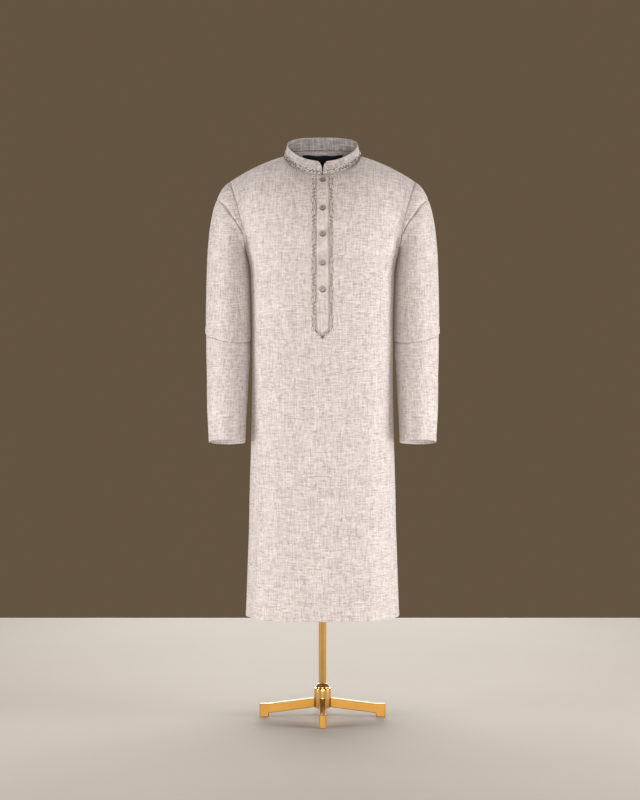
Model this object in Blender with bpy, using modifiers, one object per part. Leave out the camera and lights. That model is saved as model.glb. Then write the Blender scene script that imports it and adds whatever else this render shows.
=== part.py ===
"""A long kurta tunic, filled out with no wearer, on a brass display stand.

+X is the wearer's left, -Y the front, +Z up.  The origin is on the floor, on the pole's axis.
Every cloth surface here is the outside of the garment, and each wall grows inwards from it.
"""

import math
from collections import namedtuple

import bmesh
import bpy
import numpy as np
from mathutils import Matrix, Vector

# Cloth walls, and the gap that every two neighbours keep.
CLOTH = 0.0012
COLLAR_CLOTH = 0.0018
LABEL_CLOTH = 0.0010
LABEL_GAP = 0.0009  # the label hangs a little free of the panel
GAP = 0.0003

# Front and back panels: their heights over the floor, and where the neck, shoulder and armhole lie.
HEM_HEIGHT = 0.241
ARMPIT_HEIGHT = 1.083
NECK_HALF_WIDTH = 0.0877
NECK_FRONT = 0.075
NECK_BACK = 0.062
NECK_SIDE_HEIGHT = 1.2985
NECK_SLOPE = 0.45
NECK_ROUNDING = 2.7
SHOULDER_TIP = (0.2128, 1.240)
SHOULDER_CROWN = 0.0055
ARMHOLE_HALF_DEPTH = 0.072
NECK_TURN = 1 / 3  # the share of a panel's half width that runs into the neckline
ARMHOLE_PULL = 2  # how fast the armhole's shape dies out towards the centre
FRONT_ROLL = math.radians(60)  # how far the chest rolls over below the neckline
SHOULDER_ROLL = math.radians(90)
SLIT_TOP = 0.50
SLIT_OPENING = 0.004  # each edge at the hem

BodyRow = namedtuple("BodyRow", "height half_width front_depth back_depth squareness")
BODY_ROWS = (
    BodyRow(HEM_HEIGHT, 0.1770, 0.1440, 0.1380, 3.0),
    BodyRow(0.343, 0.1735, 0.1400, 0.1340, 2.9),
    BodyRow(0.435, 0.1702, 0.1365, 0.1300, 2.8),
    BodyRow(0.540, 0.1680, 0.1330, 0.1260, 2.75),
    BodyRow(0.620, 0.1655, 0.1300, 0.1235, 2.7),
    BodyRow(0.830, 0.1622, 0.1255, 0.1185, 2.6),
    BodyRow(0.990, 0.1642, 0.1245, 0.1170, 2.5),
    BodyRow(1.050, 0.1680, 0.1240, 0.1165, 2.5),
    BodyRow(ARMPIT_HEIGHT, 0.1770, 0.1235, 0.1165, 2.5),
)
Fold = namedtuple("Fold", "side turn width depth")
SKIRT_FOLDS = (  # soft flutes that start at the hip and are deepest at the hem
    Fold(-1, -0.66, 0.10, 0.0035),
    Fold(-1, 0.60, 0.11, 0.0030),
    Fold(1, -0.58, 0.12, 0.0055),
    Fold(1, -0.12, 0.10, 0.0040),
    Fold(1, 0.42, 0.13, 0.0060),
)
FOLD_START = 0.80
PANEL_COLUMNS = 30
PLACKET_BOTTOM = 0.890
PLACKET_POINT = 0.012
BODY_HEIGHTS = (HEM_HEIGHT, 0.31, 0.38, 0.45, 0.52, 0.60, 0.70, 0.80)
BODY_HEIGHTS += (PLACKET_BOTTOM, PLACKET_BOTTOM + PLACKET_POINT, 0.98, 1.03, 1.06)
CLIMBS = (0.0, 0.12, 0.24, 0.36, 0.48, 0.60, 0.72, 0.82, 0.91, 0.97, 1.0)

# Sleeves, ring by ring from the armhole to the cuff.  A ring's outer and inner point face away
# from and towards the body, front_rise lifts its front edge by that much for each metre, and hollow
# draws its front and back in towards the body, as an armhole is cut.
Ring = namedtuple("Ring", "outer_x outer_z inner_x inner_z mid_y half_depth front_rise hollow")
SLEEVE_RINGS = (
    Ring(*SHOULDER_TIP, 0.1770, ARMPIT_HEIGHT, 0, ARMHOLE_HALF_DEPTH, 0, 0.0065),
    Ring(0.2165, 1.2374, 0.1769, 1.0822, 0, 0.0722, 0, 0.0062),
    Ring(0.2300, 1.2240, 0.1767, 1.0800, 0, 0.0728, 0, 0.0052),
    Ring(0.2400, 1.2060, 0.1765, 1.0775, 0, 0.0705, 0, 0.0038),  # the fold under the sleeve head
    Ring(0.2480, 1.1860, 0.1762, 1.0745, 0, 0.0730, 0, 0.0024),
    Ring(0.2570, 1.1480, 0.1752, 1.0680, -0.001, 0.0725, 0, 0.0010),
    Ring(0.2640, 1.0880, 0.1731, 1.0550, -0.002, 0.0715, 0, 0),
    Ring(0.2670, 1.0250, 0.1695, 1.0200, -0.003, 0.0705, 0, 0),
    Ring(0.2685, 0.9600, 0.1672, 0.9650, -0.004, 0.0690, -0.03, 0),
    Ring(0.2692, 0.9120, 0.1664, 0.9120, -0.005, 0.0680, -0.08, 0),
    Ring(0.2695, 0.8930, 0.1664, 0.8760, -0.006, 0.0675, -0.15, 0),  # the lap over the elbow
    Ring(0.2670, 0.8870, 0.1680, 0.8690, -0.008, 0.0640, -0.13, 0),  # the crease below the lap
    Ring(0.2672, 0.8550, 0.1670, 0.8500, -0.011, 0.0640, 0.02, 0),
    Ring(0.2662, 0.8000, 0.1692, 0.8000, -0.019, 0.0610, 0.12, 0),
    Ring(0.2648, 0.7200, 0.1732, 0.7200, -0.032, 0.0555, 0.155, 0),
    Ring(0.2602, 0.6410, 0.1770, 0.6410, -0.045, 0.0500, 0.155, 0),
)

# Stand collar, whose two rounded ends meet at the centre front.
COLLAR_HEIGHT = {"back": 0.0315, "side": 0.0275, "front": 0.0310}
COLLAR_LEAN = 0.925  # the top edge's size against the seam's
COLLAR_END_GAP = 0.0012
COLLAR_CORNER = 0.011
COLLAR_ROWS = 3
COLLAR_END_COLUMNS = (0, 0.15, 0.4, 0.7, 1)  # shares of the corner's length

# Button placket, and the five buttons down it.
PLACKET_HALF_WIDTH = 0.0122
PLACKET_TIP = 0.0008
PLACKET_TOP_CLIMB = 0.985
BUTTON_HEIGHTS = (1.234, 1.1705, 1.1126, 1.048, 0.988)
BUTTON_RADIUS = 0.0065
BUTTON_THICKNESS = 0.0046

# Woven label inside the back, below the collar seam.
LABEL_HALF_WIDTH = 0.0485
LABEL_CLIMBS = (0.73, 0.82, 0.91, 0.955)

# Brass stand.
POLE_RADIUS = 0.009
HUB_RADIUS = 0.0195
HUB_SPAN = (0.021, 0.067)
HUB_EDGE = 0.002
CONE_TOP = 0.077
CONE_RADIUS = 0.0155
CONE_RIM = 0.0030
CONE_LIP = 0.0012  # how far its top stands out from the pole
POLE_EDGE = 0.0004
LEG_REACH = 0.146
LEG_WIDTH = 0.0155
LEG_EDGE = 0.0015
FOOT_LENGTH = 0.0215
LEG_AT_HUB = (0.023, 0.044)
LEG_AT_FOOT = (0.009, 0.0305)
YOKE_RADIUS = 0.009
YOKE_HALF_SPAN = 0.172
YOKE_DIP = 0.052  # how far the yoke's middle hangs below its shoulders
YOKE_CLEARANCE = 0.005
YOKE_STRAIGHT = 0.03  # half of its level stretch
YOKE_SHOULDER = 0.105  # where the dip starts
TEE_RADIUS = 0.014
TEE_BELOW = 0.022
TEE_ABOVE = 0.014
TEE_EDGE = 0.003

FRONT = -1
BACK = 1


def clear_scene():
    for thing in list(bpy.data.objects):
        bpy.data.objects.remove(thing)


def new_collection(name):
    collection = bpy.data.collections.new(name)
    bpy.context.scene.collection.children.link(collection)
    return collection


def new_material(name, colour, roughness, metallic=0.0):
    material = bpy.data.materials.new(name)
    material.use_nodes = True
    shader = material.node_tree.nodes["Principled BSDF"]
    shader.inputs["Base Color"].default_value = (*colour, 1)
    shader.inputs["Roughness"].default_value = roughness
    shader.inputs["Metallic"].default_value = metallic
    return material


def new_object(name, mesh, material, collection):
    thing = bpy.data.objects.new(name, mesh)
    collection.objects.link(thing)
    if material and not mesh.materials:
        mesh.materials.append(material)
    return thing


def smooth_between(low, high, value):
    share = min(max((value - low) / (high - low), 0), 1)
    return share * share * (3 - 2 * share)


def along(table, where):
    """The table's columns at a value of its first one, on a smooth curve through its rows."""
    rows = np.array(table)
    knots = rows[:, 0]
    slopes = np.gradient(rows, knots, axis=0)
    low = int(np.clip(np.searchsorted(knots, where) - 1, 0, len(knots) - 2))
    span = knots[low + 1] - knots[low]
    share = (where - knots[low]) / span
    start = rows[low] * (2 * share**3 - 3 * share**2 + 1)
    start_slope = slopes[low] * span * (share**3 - 2 * share**2 + share)
    end = rows[low + 1] * (3 * share**2 - 2 * share**3)
    end_slope = slopes[low + 1] * span * (share**3 - share**2)
    return start + start_slope + end + end_slope


def body_point(side, turn, height):
    """The body below the armpits.  turn runs from -1 to 1 between the side seams."""
    row = BodyRow(*along(BODY_ROWS, height))
    depth = row.front_depth if side == FRONT else row.back_depth
    angle = turn * math.pi / 2
    across, forward = math.sin(angle), math.cos(angle)
    reach = (abs(across) ** row.squareness + abs(forward) ** row.squareness) ** (-1 / row.squareness)
    reach -= skirt_fold(side, turn, height) / depth
    slit = SLIT_OPENING * smooth_between(SLIT_TOP, HEM_HEIGHT, height) * abs(turn) ** 12
    return np.array((row.half_width * across * reach, side * (depth * forward * reach + slit), height))


def skirt_fold(side, turn, height):
    hang = smooth_between(FOLD_START, HEM_HEIGHT, height)
    folds = [fold for fold in SKIRT_FOLDS if fold.side == side]
    return hang * sum(f.depth * math.exp(-(((turn - f.turn) / f.width) ** 2)) for f in folds)


def neckline(side, quarter):
    """The collar seam, from the centre front or back at 0 to a shoulder at -1 or 1."""
    angle = quarter * math.pi / 2
    across = NECK_HALF_WIDTH * math.sin(angle)
    forward = side * (NECK_FRONT if side == FRONT else NECK_BACK) * math.cos(angle)
    height = NECK_SIDE_HEIGHT + NECK_SLOPE * forward - NECK_ROUNDING * forward**2
    return np.array((across, forward, height))


def shoulder_line(share):
    """The shoulder seam, from the neck at 0 to the sleeve at 1."""
    across = NECK_HALF_WIDTH + (SHOULDER_TIP[0] - NECK_HALF_WIDTH) * share
    drop = (NECK_SIDE_HEIGHT - SHOULDER_TIP[1]) * share
    return np.array((across, 0, NECK_SIDE_HEIGHT - drop + SHOULDER_CROWN * 4 * share * (1 - share)))


def top_edge(side, turn):
    if abs(turn) <= NECK_TURN:
        return neckline(side, turn / NECK_TURN)
    point = shoulder_line((abs(turn) - NECK_TURN) / (1 - NECK_TURN))
    return point * (math.copysign(1, turn), 1, 1)


def ring_point(ring, angle):
    """A point on a sleeve ring.  0 degrees faces away from the body, 90 the front."""
    swing, depth = math.cos(angle), -ring.half_depth * math.sin(angle)
    across = (ring.outer_x + ring.inner_x) / 2 + (ring.outer_x - ring.inner_x) / 2 * swing
    across -= ring.hollow * math.sin(angle) ** 2
    height = (ring.outer_z + ring.inner_z) / 2 + (ring.outer_z - ring.inner_z) / 2 * swing
    return np.array((across, ring.mid_y + depth, height - ring.front_rise * depth))


def armhole_point(side, climb):
    """The armhole seam, from the armpit at 0 to the shoulder at 1."""
    return ring_point(SLEEVE_RINGS[0], -side * math.pi * (1 - climb))


def bodice_point(side, turn, climb):
    """A panel above the armpits.  climb runs from 0 to 1 at the neckline and shoulder seam."""
    roll = FRONT_ROLL + (SHOULDER_ROLL - FRONT_ROLL) * smooth_between(0, NECK_TURN, abs(turn))
    rise = math.sin(roll * climb) / math.sin(roll)
    turn_in = (1 - math.cos(roll * climb)) / (1 - math.cos(roll))
    shares = np.array((climb, turn_in, rise))

    def between(turn):
        return body_point(side, turn, ARMPIT_HEIGHT) * (1 - shares) + top_edge(side, turn) * shares

    mirror = np.array((math.copysign(1, turn), 1, 1))
    pull = armhole_point(side, climb) * mirror - between(math.copysign(1, turn))
    return between(turn) + pull * abs(turn) ** ARMHOLE_PULL


def panel_point(side, turn, rise):
    """rise runs from 0 at the hem to 1 at the armpits and 2 at the neckline and shoulder seam."""
    if rise <= 1:
        return body_point(side, turn, HEM_HEIGHT + (ARMPIT_HEIGHT - HEM_HEIGHT) * rise)
    return bodice_point(side, turn, rise - 1)


def panel_rises():
    below = [(height - HEM_HEIGHT) / (ARMPIT_HEIGHT - HEM_HEIGHT) for height in BODY_HEIGHTS]
    return below + [1 + climb for climb in CLIMBS]


def panel_grid(side):
    turns = np.linspace(-1, 1, PANEL_COLUMNS + 1)
    grid = np.array([[panel_point(side, turn, rise) for turn in turns] for rise in panel_rises()])
    return grid + (0, side * GAP / 2, 0)


def sleeve_grid(hand):
    angles = [math.pi * (1 - climb) for climb in CLIMBS]
    angles += [-angle for angle in reversed(angles[1:-1])]
    grid = np.array([[ring_point(ring, angle) for angle in angles] for ring in SLEEVE_RINGS])
    return (grid + (GAP, 0, 0)) * (hand, 1, 1)


def collar_seam():
    """Where the collar is sewn on: the panels' own neck points, round the back from end to end."""
    seams = {}
    for side in (FRONT, BACK):
        row = panel_grid(side)[-1]
        seams[side] = row[abs(row[:, 0]) < NECK_HALF_WIDTH - GAP]
    front = seams[FRONT]
    ends = [COLLAR_END_GAP + COLLAR_CORNER * share for share in COLLAR_END_COLUMNS]
    corner = np.array([[np.interp(x, front[:, 0], front[:, axis]) for axis in range(3)] for x in ends])
    side_seam = np.array([shoulder_line(0)])
    left = np.concatenate((side_seam, front[front[:, 0] > ends[-1]][::-1], corner[::-1]))
    right = left[::-1] * (-1, 1, 1)
    return np.concatenate((right, seams[BACK], left))


def collar_point(seam, share):
    """A point above the seam, share of the way up to the top edge."""
    fullness = abs(seam[1]) / (NECK_BACK if seam[1] > 0 else NECK_FRONT)
    ends = COLLAR_HEIGHT["back" if seam[1] > 0 else "front"]
    height = COLLAR_HEIGHT["side"] + (ends - COLLAR_HEIGHT["side"]) * fullness**2
    if seam[1] < 0:
        reach = min(abs(seam[0]) - COLLAR_END_GAP, COLLAR_CORNER)
        height -= COLLAR_CORNER - math.sqrt(COLLAR_CORNER**2 - (COLLAR_CORNER - reach) ** 2)
    lean = 1 - (1 - COLLAR_LEAN) * share
    across = max(abs(seam[0]) * lean, COLLAR_END_GAP)
    return np.array((math.copysign(across, seam[0]), seam[1] * lean, seam[2] + GAP + height * share))


def collar_grid():
    shares = np.linspace(0, 1, COLLAR_ROWS + 1)
    return np.array([[collar_point(seam, share) for seam in collar_seam()] for share in shares])


def lifted(grid, distance):
    """The grid moved along its own normals, which face right of its rows' run."""
    over = np.cross(np.gradient(grid, axis=1), np.gradient(grid, axis=0))
    over /= np.linalg.norm(over, axis=2, keepdims=True)
    return grid + over * distance


def patch_row(grid, rise, half_width, inner):
    """A row of a patch on a panel: its two ends, and inner panel columns each side of the middle."""
    rises = panel_rises()
    low = min(int(np.searchsorted(rises, rise, side="right")) - 1, len(rises) - 2)
    share = (rise - rises[low]) / (rises[low + 1] - rises[low])
    row = grid[low] * (1 - share) + grid[low + 1] * share
    ends = [[np.interp(x, row[:, 0], row[:, axis]) for axis in range(3)] for x in (-half_width, half_width)]
    middle = len(row) // 2
    return np.array([ends[0], *row[middle - inner : middle + inner + 1], ends[1]])


def placket_grid():
    """The strip on the front panel: a point at its lower end, then straight up to the collar."""
    start = BODY_HEIGHTS.index(PLACKET_BOTTOM)
    rises = [rise for rise in panel_rises()[start:] if rise < 1 + PLACKET_TOP_CLIMB]
    widths = [PLACKET_TIP] + [PLACKET_HALF_WIDTH] * len(rises)
    panel = panel_grid(FRONT)
    rises.append(1 + PLACKET_TOP_CLIMB)
    rows = [patch_row(panel, rise, half, 0) for rise, half in zip(rises, widths)]
    return lifted(np.array(rows), GAP + CLOTH)


def label_grid():
    panel = panel_grid(BACK)
    rows = [patch_row(panel, 1 + climb, LABEL_HALF_WIDTH, 1) for climb in LABEL_CLIMBS]
    return lifted(np.array(rows), CLOTH + LABEL_GAP)


def shell(name, grid, thickness, material, collection, closed=False, flip=False):
    """A cloth piece: the grid's open surface, with its wall grown inwards by Solidify."""
    rows, columns = grid.shape[:2]
    steps = columns if closed else columns - 1
    faces = []
    for row in range(rows - 1):
        for column in range(steps):
            following = (column + 1) % columns
            corners = [row * columns + column, row * columns + following]
            corners += [corners[1] + columns, corners[0] + columns]
            faces.append(corners[::-1] if flip else corners)
    mesh = bpy.data.meshes.new(name)
    mesh.from_pydata([tuple(point) for point in grid.reshape(-1, 3)], [], faces)
    mesh.shade_smooth()
    thing = new_object(name, mesh, material, collection)
    wall = thing.modifiers.new("wall", "SOLIDIFY")
    wall.thickness = thickness
    wall.offset = -1
    return thing


def turned(name, profile, steps, material, collection):
    """A solid of revolution.  Its profile of (radius, height) runs down the outside."""
    mesh = bpy.data.meshes.new(name)
    edges = [(index, index + 1) for index in range(len(profile) - 1)]
    mesh.from_pydata([(radius, 0, height) for radius, height in profile], edges, [])
    thing = new_object(name, mesh, material, collection)
    screw = thing.modifiers.new("turn", "SCREW")
    screw.steps = steps
    screw.render_steps = steps
    screw.use_merge_vertices = True
    screw.merge_threshold = 0.0001
    screw.use_smooth_shade = True
    return thing


def rounded_profile(radius, low, high, edge, segments=3):
    """A cylinder's outline with rounded rims, from the top's centre to the bottom's."""
    turns = [math.pi / 2 * step / segments for step in range(segments + 1)]
    inner = radius - edge
    upper = [(inner + edge * math.sin(turn), high - edge + edge * math.cos(turn)) for turn in turns]
    lower = [(inner + edge * math.cos(turn), low + edge - edge * math.sin(turn)) for turn in turns]
    return [(0, high)] + upper + lower + [(0, low)]


def button_profile():
    """A dished dome with a raised rim, over a narrow shank."""
    radius, height = BUTTON_RADIUS, BUTTON_THICKNESS
    return [
        (0, height * 0.90),
        (radius * 0.45, height * 0.84),
        (radius * 0.70, height * 0.78),
        (radius * 0.86, height * 0.92),
        (radius, height * 0.66),
        (radius * 0.92, height * 0.42),
        (radius * 0.40, height * 0.34),
        (radius * 0.36, 0),
        (0, 0),
    ]


def make_buttons(material, collection):
    grid = placket_grid()
    middle = grid.shape[1] // 2
    line = grid[:, middle]
    normals = (lifted(grid, 1) - grid)[:, middle]
    for number, height in enumerate(BUTTON_HEIGHTS, start=1):
        button = turned(f"button_{number}", button_profile(), 20, material, collection)
        place = Vector([np.interp(height, line[:, 2], line[:, axis]) for axis in range(3)])
        facing = Vector([np.interp(height, line[:, 2], normals[:, axis]) for axis in range(3)]).normalized()
        button.location = place + facing * GAP
        button.rotation_mode = "QUATERNION"
        button.rotation_quaternion = facing.to_track_quat("Z", "Y")


def yoke_height(across):
    """The yoke's axis: it follows the shoulder line from below, and dips under the neck."""
    share = (abs(across) - NECK_HALF_WIDTH) / (SHOULDER_TIP[0] - NECK_HALF_WIDTH)
    dip = YOKE_DIP * (1 - smooth_between(YOKE_STRAIGHT, YOKE_SHOULDER, abs(across)))
    return shoulder_line(max(share, 0))[2] - CLOTH - YOKE_CLEARANCE - YOKE_RADIUS - dip


def make_yoke(material, collection):
    curve = bpy.data.curves.new("shoulder_yoke", "CURVE")
    curve.dimensions = "3D"
    curve.bevel_depth = YOKE_RADIUS
    curve.bevel_resolution = 3
    curve.use_fill_caps = True
    outer = np.linspace(YOKE_STRAIGHT, YOKE_HALF_SPAN, 14)
    stations = [-x for x in outer[::-1]] + list(outer)
    level = yoke_height(YOKE_STRAIGHT)
    spline = curve.splines.new("POLY")
    spline.points.add(len(stations) - 1)
    for point, across in zip(spline.points, stations):
        point.co = (across, 0, yoke_height(across), 1)
    new_object("shoulder_yoke", curve, material, collection)
    return level


def cylinder_cutter(name, radius, length, centre, rotation, cutters):
    bpy.ops.mesh.primitive_cylinder_add(
        vertices=64, radius=radius, depth=length, location=centre, rotation=rotation
    )
    cutter = bpy.context.object
    cutter.name = name
    cutter.hide_render = True
    cutter.display_type = "WIRE"
    for holder in list(cutter.users_collection):
        holder.objects.unlink(cutter)
    cutters.objects.link(cutter)
    return cutter


def cut_away(thing, cutter):
    cut = thing.modifiers.new(cutter.name, "BOOLEAN")
    cut.operation = "DIFFERENCE"
    cut.object = cutter


def make_tee(level, material, collection, cutters):
    """The socket that joins pole and yoke, bored crosswise for the yoke."""
    profile = rounded_profile(TEE_RADIUS, level - TEE_BELOW, level + TEE_ABOVE, TEE_EDGE)
    tee = turned("yoke_socket", profile, 24, material, collection)
    bore = (YOKE_RADIUS + GAP, 4 * TEE_RADIUS, (0, 0, level), (0, math.pi / 2, 0))
    cut_away(tee, cylinder_cutter("yoke_bore", *bore, cutters))


def make_leg(name, bearing, hub_cutter, material, collection):
    """One bar of the cross foot: a side outline given its width, bevelled, cut to the hub."""
    foot_start = LEG_REACH - FOOT_LENGTH
    outline = (
        (HUB_RADIUS * 0.6, LEG_AT_HUB[0]),
        (foot_start, LEG_AT_FOOT[0]),
        (foot_start, 0),
        (LEG_REACH, 0),
        (LEG_REACH, LEG_AT_FOOT[1]),
        (foot_start, LEG_AT_FOOT[1]),
        (HUB_RADIUS * 0.6, LEG_AT_HUB[1]),
    )
    shape = bmesh.new()
    face = shape.faces.new([shape.verts.new((r, -LEG_WIDTH / 2, z)) for r, z in outline])
    made = bmesh.ops.extrude_face_region(shape, geom=[face])
    moved = [item for item in made["geom"] if isinstance(item, bmesh.types.BMVert)]
    bmesh.ops.translate(shape, verts=moved, vec=(0, LEG_WIDTH, 0))
    bmesh.ops.recalc_face_normals(shape, faces=shape.faces)
    bmesh.ops.transform(shape, matrix=Matrix.Rotation(bearing, 4, "Z"), verts=shape.verts)
    mesh = bpy.data.meshes.new(name)
    shape.to_mesh(mesh)
    shape.free()
    leg = new_object(name, mesh, material, collection)
    edge = leg.modifiers.new("edges", "BEVEL")
    edge.width = LEG_EDGE
    edge.segments = 2
    edge.limit_method = "ANGLE"
    cut_away(leg, hub_cutter)


def make_stand(brass, collection, cutters):
    level = make_yoke(brass, collection)
    make_tee(level, brass, collection, cutters)
    pole = rounded_profile(POLE_RADIUS, CONE_TOP + GAP, level - TEE_BELOW - GAP, POLE_EDGE, 1)
    turned("stand_pole", pole, 32, brass, collection)
    turned("stand_hub", rounded_profile(HUB_RADIUS, *HUB_SPAN, HUB_EDGE), 32, brass, collection)
    cone = [(0, CONE_TOP), (POLE_RADIUS + CONE_LIP, CONE_TOP)]
    cone += [(CONE_RADIUS, HUB_SPAN[1] + CONE_RIM), (CONE_RADIUS, HUB_SPAN[1] + GAP)]
    turned("pole_cone", cone + [(0, HUB_SPAN[1] + GAP)], 32, brass, collection)
    around_hub = (HUB_RADIUS + GAP, 4 * HUB_SPAN[1], (0, 0, 0), (0, 0, 0))
    hub_cutter = cylinder_cutter("hub_clearance", *around_hub, cutters)
    for name, quarter in (("leg_left", 0), ("leg_back", 1), ("leg_right", 2), ("leg_front", 3)):
        make_leg(name, quarter * math.pi / 2, hub_cutter, brass, collection)


def make_garment(collection):
    linen = new_material("linen_cotton", (0.66, 0.59, 0.55), 0.9)
    label = new_material("label_cloth", (0.01, 0.016, 0.016), 0.8)
    horn = new_material("button_horn", (0.36, 0.29, 0.23), 0.5)
    shell("front_panel", panel_grid(FRONT), CLOTH, linen, collection)
    shell("back_panel", panel_grid(BACK), CLOTH, linen, collection, flip=True)
    shell("sleeve_left", sleeve_grid(1), CLOTH, linen, collection, closed=True, flip=True)
    shell("sleeve_right", sleeve_grid(-1), CLOTH, linen, collection, closed=True)
    shell("collar_band", collar_grid(), COLLAR_CLOTH, linen, collection, flip=True)
    shell("placket_strip", placket_grid(), CLOTH, linen, collection)
    shell("neck_label", label_grid(), LABEL_CLOTH, label, collection, flip=True)
    make_buttons(horn, collection)


def main():
    clear_scene()
    kurta = new_collection("kurta_on_stand")
    cutters = new_collection("cutters")
    make_garment(kurta)
    make_stand(new_material("brass", (0.60, 0.36, 0.13), 0.25, 1.0), kurta, cutters)


main()
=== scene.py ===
import math

import bpy
import numpy as np
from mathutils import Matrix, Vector


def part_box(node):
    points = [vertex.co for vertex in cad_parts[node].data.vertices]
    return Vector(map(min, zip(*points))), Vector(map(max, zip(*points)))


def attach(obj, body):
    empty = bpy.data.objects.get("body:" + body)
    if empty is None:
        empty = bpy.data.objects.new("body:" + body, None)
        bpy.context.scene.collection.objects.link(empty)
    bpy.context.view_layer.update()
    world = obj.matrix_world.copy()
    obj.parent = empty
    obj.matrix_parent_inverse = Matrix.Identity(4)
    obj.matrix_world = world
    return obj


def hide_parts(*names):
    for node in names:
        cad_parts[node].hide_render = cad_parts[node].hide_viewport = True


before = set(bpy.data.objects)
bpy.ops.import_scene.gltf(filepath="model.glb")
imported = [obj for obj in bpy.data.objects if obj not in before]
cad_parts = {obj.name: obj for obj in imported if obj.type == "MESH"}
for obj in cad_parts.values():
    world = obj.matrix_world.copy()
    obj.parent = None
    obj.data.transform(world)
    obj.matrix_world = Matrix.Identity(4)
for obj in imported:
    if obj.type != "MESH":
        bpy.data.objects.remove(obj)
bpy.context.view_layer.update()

# A long kurta of slub linen and cotton, filled out on a brass stand.
# Metres. +X is the wearer's left, -Y the front, +Z up. On a cloth piece, u runs across and v up the cut.

seam = {
    "gap": 0.0003,  # what neighbouring pieces keep between them
    "cloth": 0.0012,  # wall of a single piece
    "roll": 0.0030,  # how far in from a sewn edge the cloth starts to turn under
    "sink": 0.0004,  # how deep the sewn edge lies
    "dent": 0.0006,  # how deep a row of hem stitches pulls the cloth in
    "dentWidth": 0.0012,
    "foldStep": 0.0010,  # how near the stitches a hem's folded cloth steps up
}


def toLinear(hexColour):  # sRGB hex to the linear colour that a socket takes
    parts = [int(hexColour[place : place + 2], 16) / 255 for place in (1, 3, 5)]
    return tuple(p / 12.92 if p < 0.04045 else ((p + 0.055) / 1.055) ** 2.4 for p in parts) + (1,)


def addNode(tree, kind, settings=(), links=()):  # settings go to sockets or properties, and links to sockets
    made = tree.nodes.new(kind)
    for key, value in dict(settings).items():
        if isinstance(key, int) or key in made.inputs:
            made.inputs[key].default_value = value
        else:
            setattr(made, key, value)
    for key, source in dict(links).items():
        tree.links.new(getattr(source, "outputs", [source])[0], made.inputs[key])
    return made


def newMaterial(name, settings):  # the material, its node tree and its shader
    material = bpy.data.materials.new(name)
    material.use_nodes = True
    tree = material.node_tree
    shader = tree.nodes["Principled BSDF"]
    for key, value in settings.items():
        shader.inputs[key].default_value = value
    return material, tree, shader


def finishShader(tree, shader, colour, height, strength, distance):  # its colour, and its relief in metres
    bump = addNode(tree, "ShaderNodeBump", {"Strength": strength, "Distance": distance}, {"Height": height})
    tree.links.new(colour, shader.inputs["Base Color"])
    tree.links.new(bump.outputs[0], shader.inputs["Normal"])


linen = {
    "base": "#d8cfcb",
    "collarTone": "#beb4b1",  # the collar's cloth, drawn greyer than the body's
    "inside": "#a19a9a",  # the collar's inner side, drawn greyer and darker as painted shade
    "slub": "#938689",  # grey yarns with a little lavender
    "fleck": "#a38b7a",  # brown yarns
    "pale": "#efe9e5",
    "roughness": 0.92,
    "weft": (  # mm long, mm thick, colour, from, to, strength: thick yarns are drawn 2 mm wide to show
        (20.0, 2.0, "slub", 0.58, 0.68, 0.42),
        (34.0, 1.7, "pale", 0.50, 0.66, 0.40),
        (8.0, 1.8, "fleck", 0.61, 0.73, 0.34),
    ),
    "warp": (
        (28.0, 2.0, "slub", 0.59, 0.69, 0.35),
        (44.0, 1.7, "pale", 0.50, 0.66, 0.40),
        (9.0, 1.8, "fleck", 0.62, 0.74, 0.25),
    ),
    "mottle": 46.0,  # mm, how far apart the cloth turns a little greyer
    "mottleRange": (0.35, 0.70),
    "mottleStrength": 0.08,
    "thread": 1.7,  # mm; the real threads are 0.5 mm apart, too fine to show
    "threadLength": 22.0,
    "hatch": (0.86, 1.11),  # the weave's darkest and lightest against the cloth's own tone
    "snapSpread": 1.37,  # keeps the yarns apart on the noise
    "seedShift": (7.3, 3.1),
}


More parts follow.
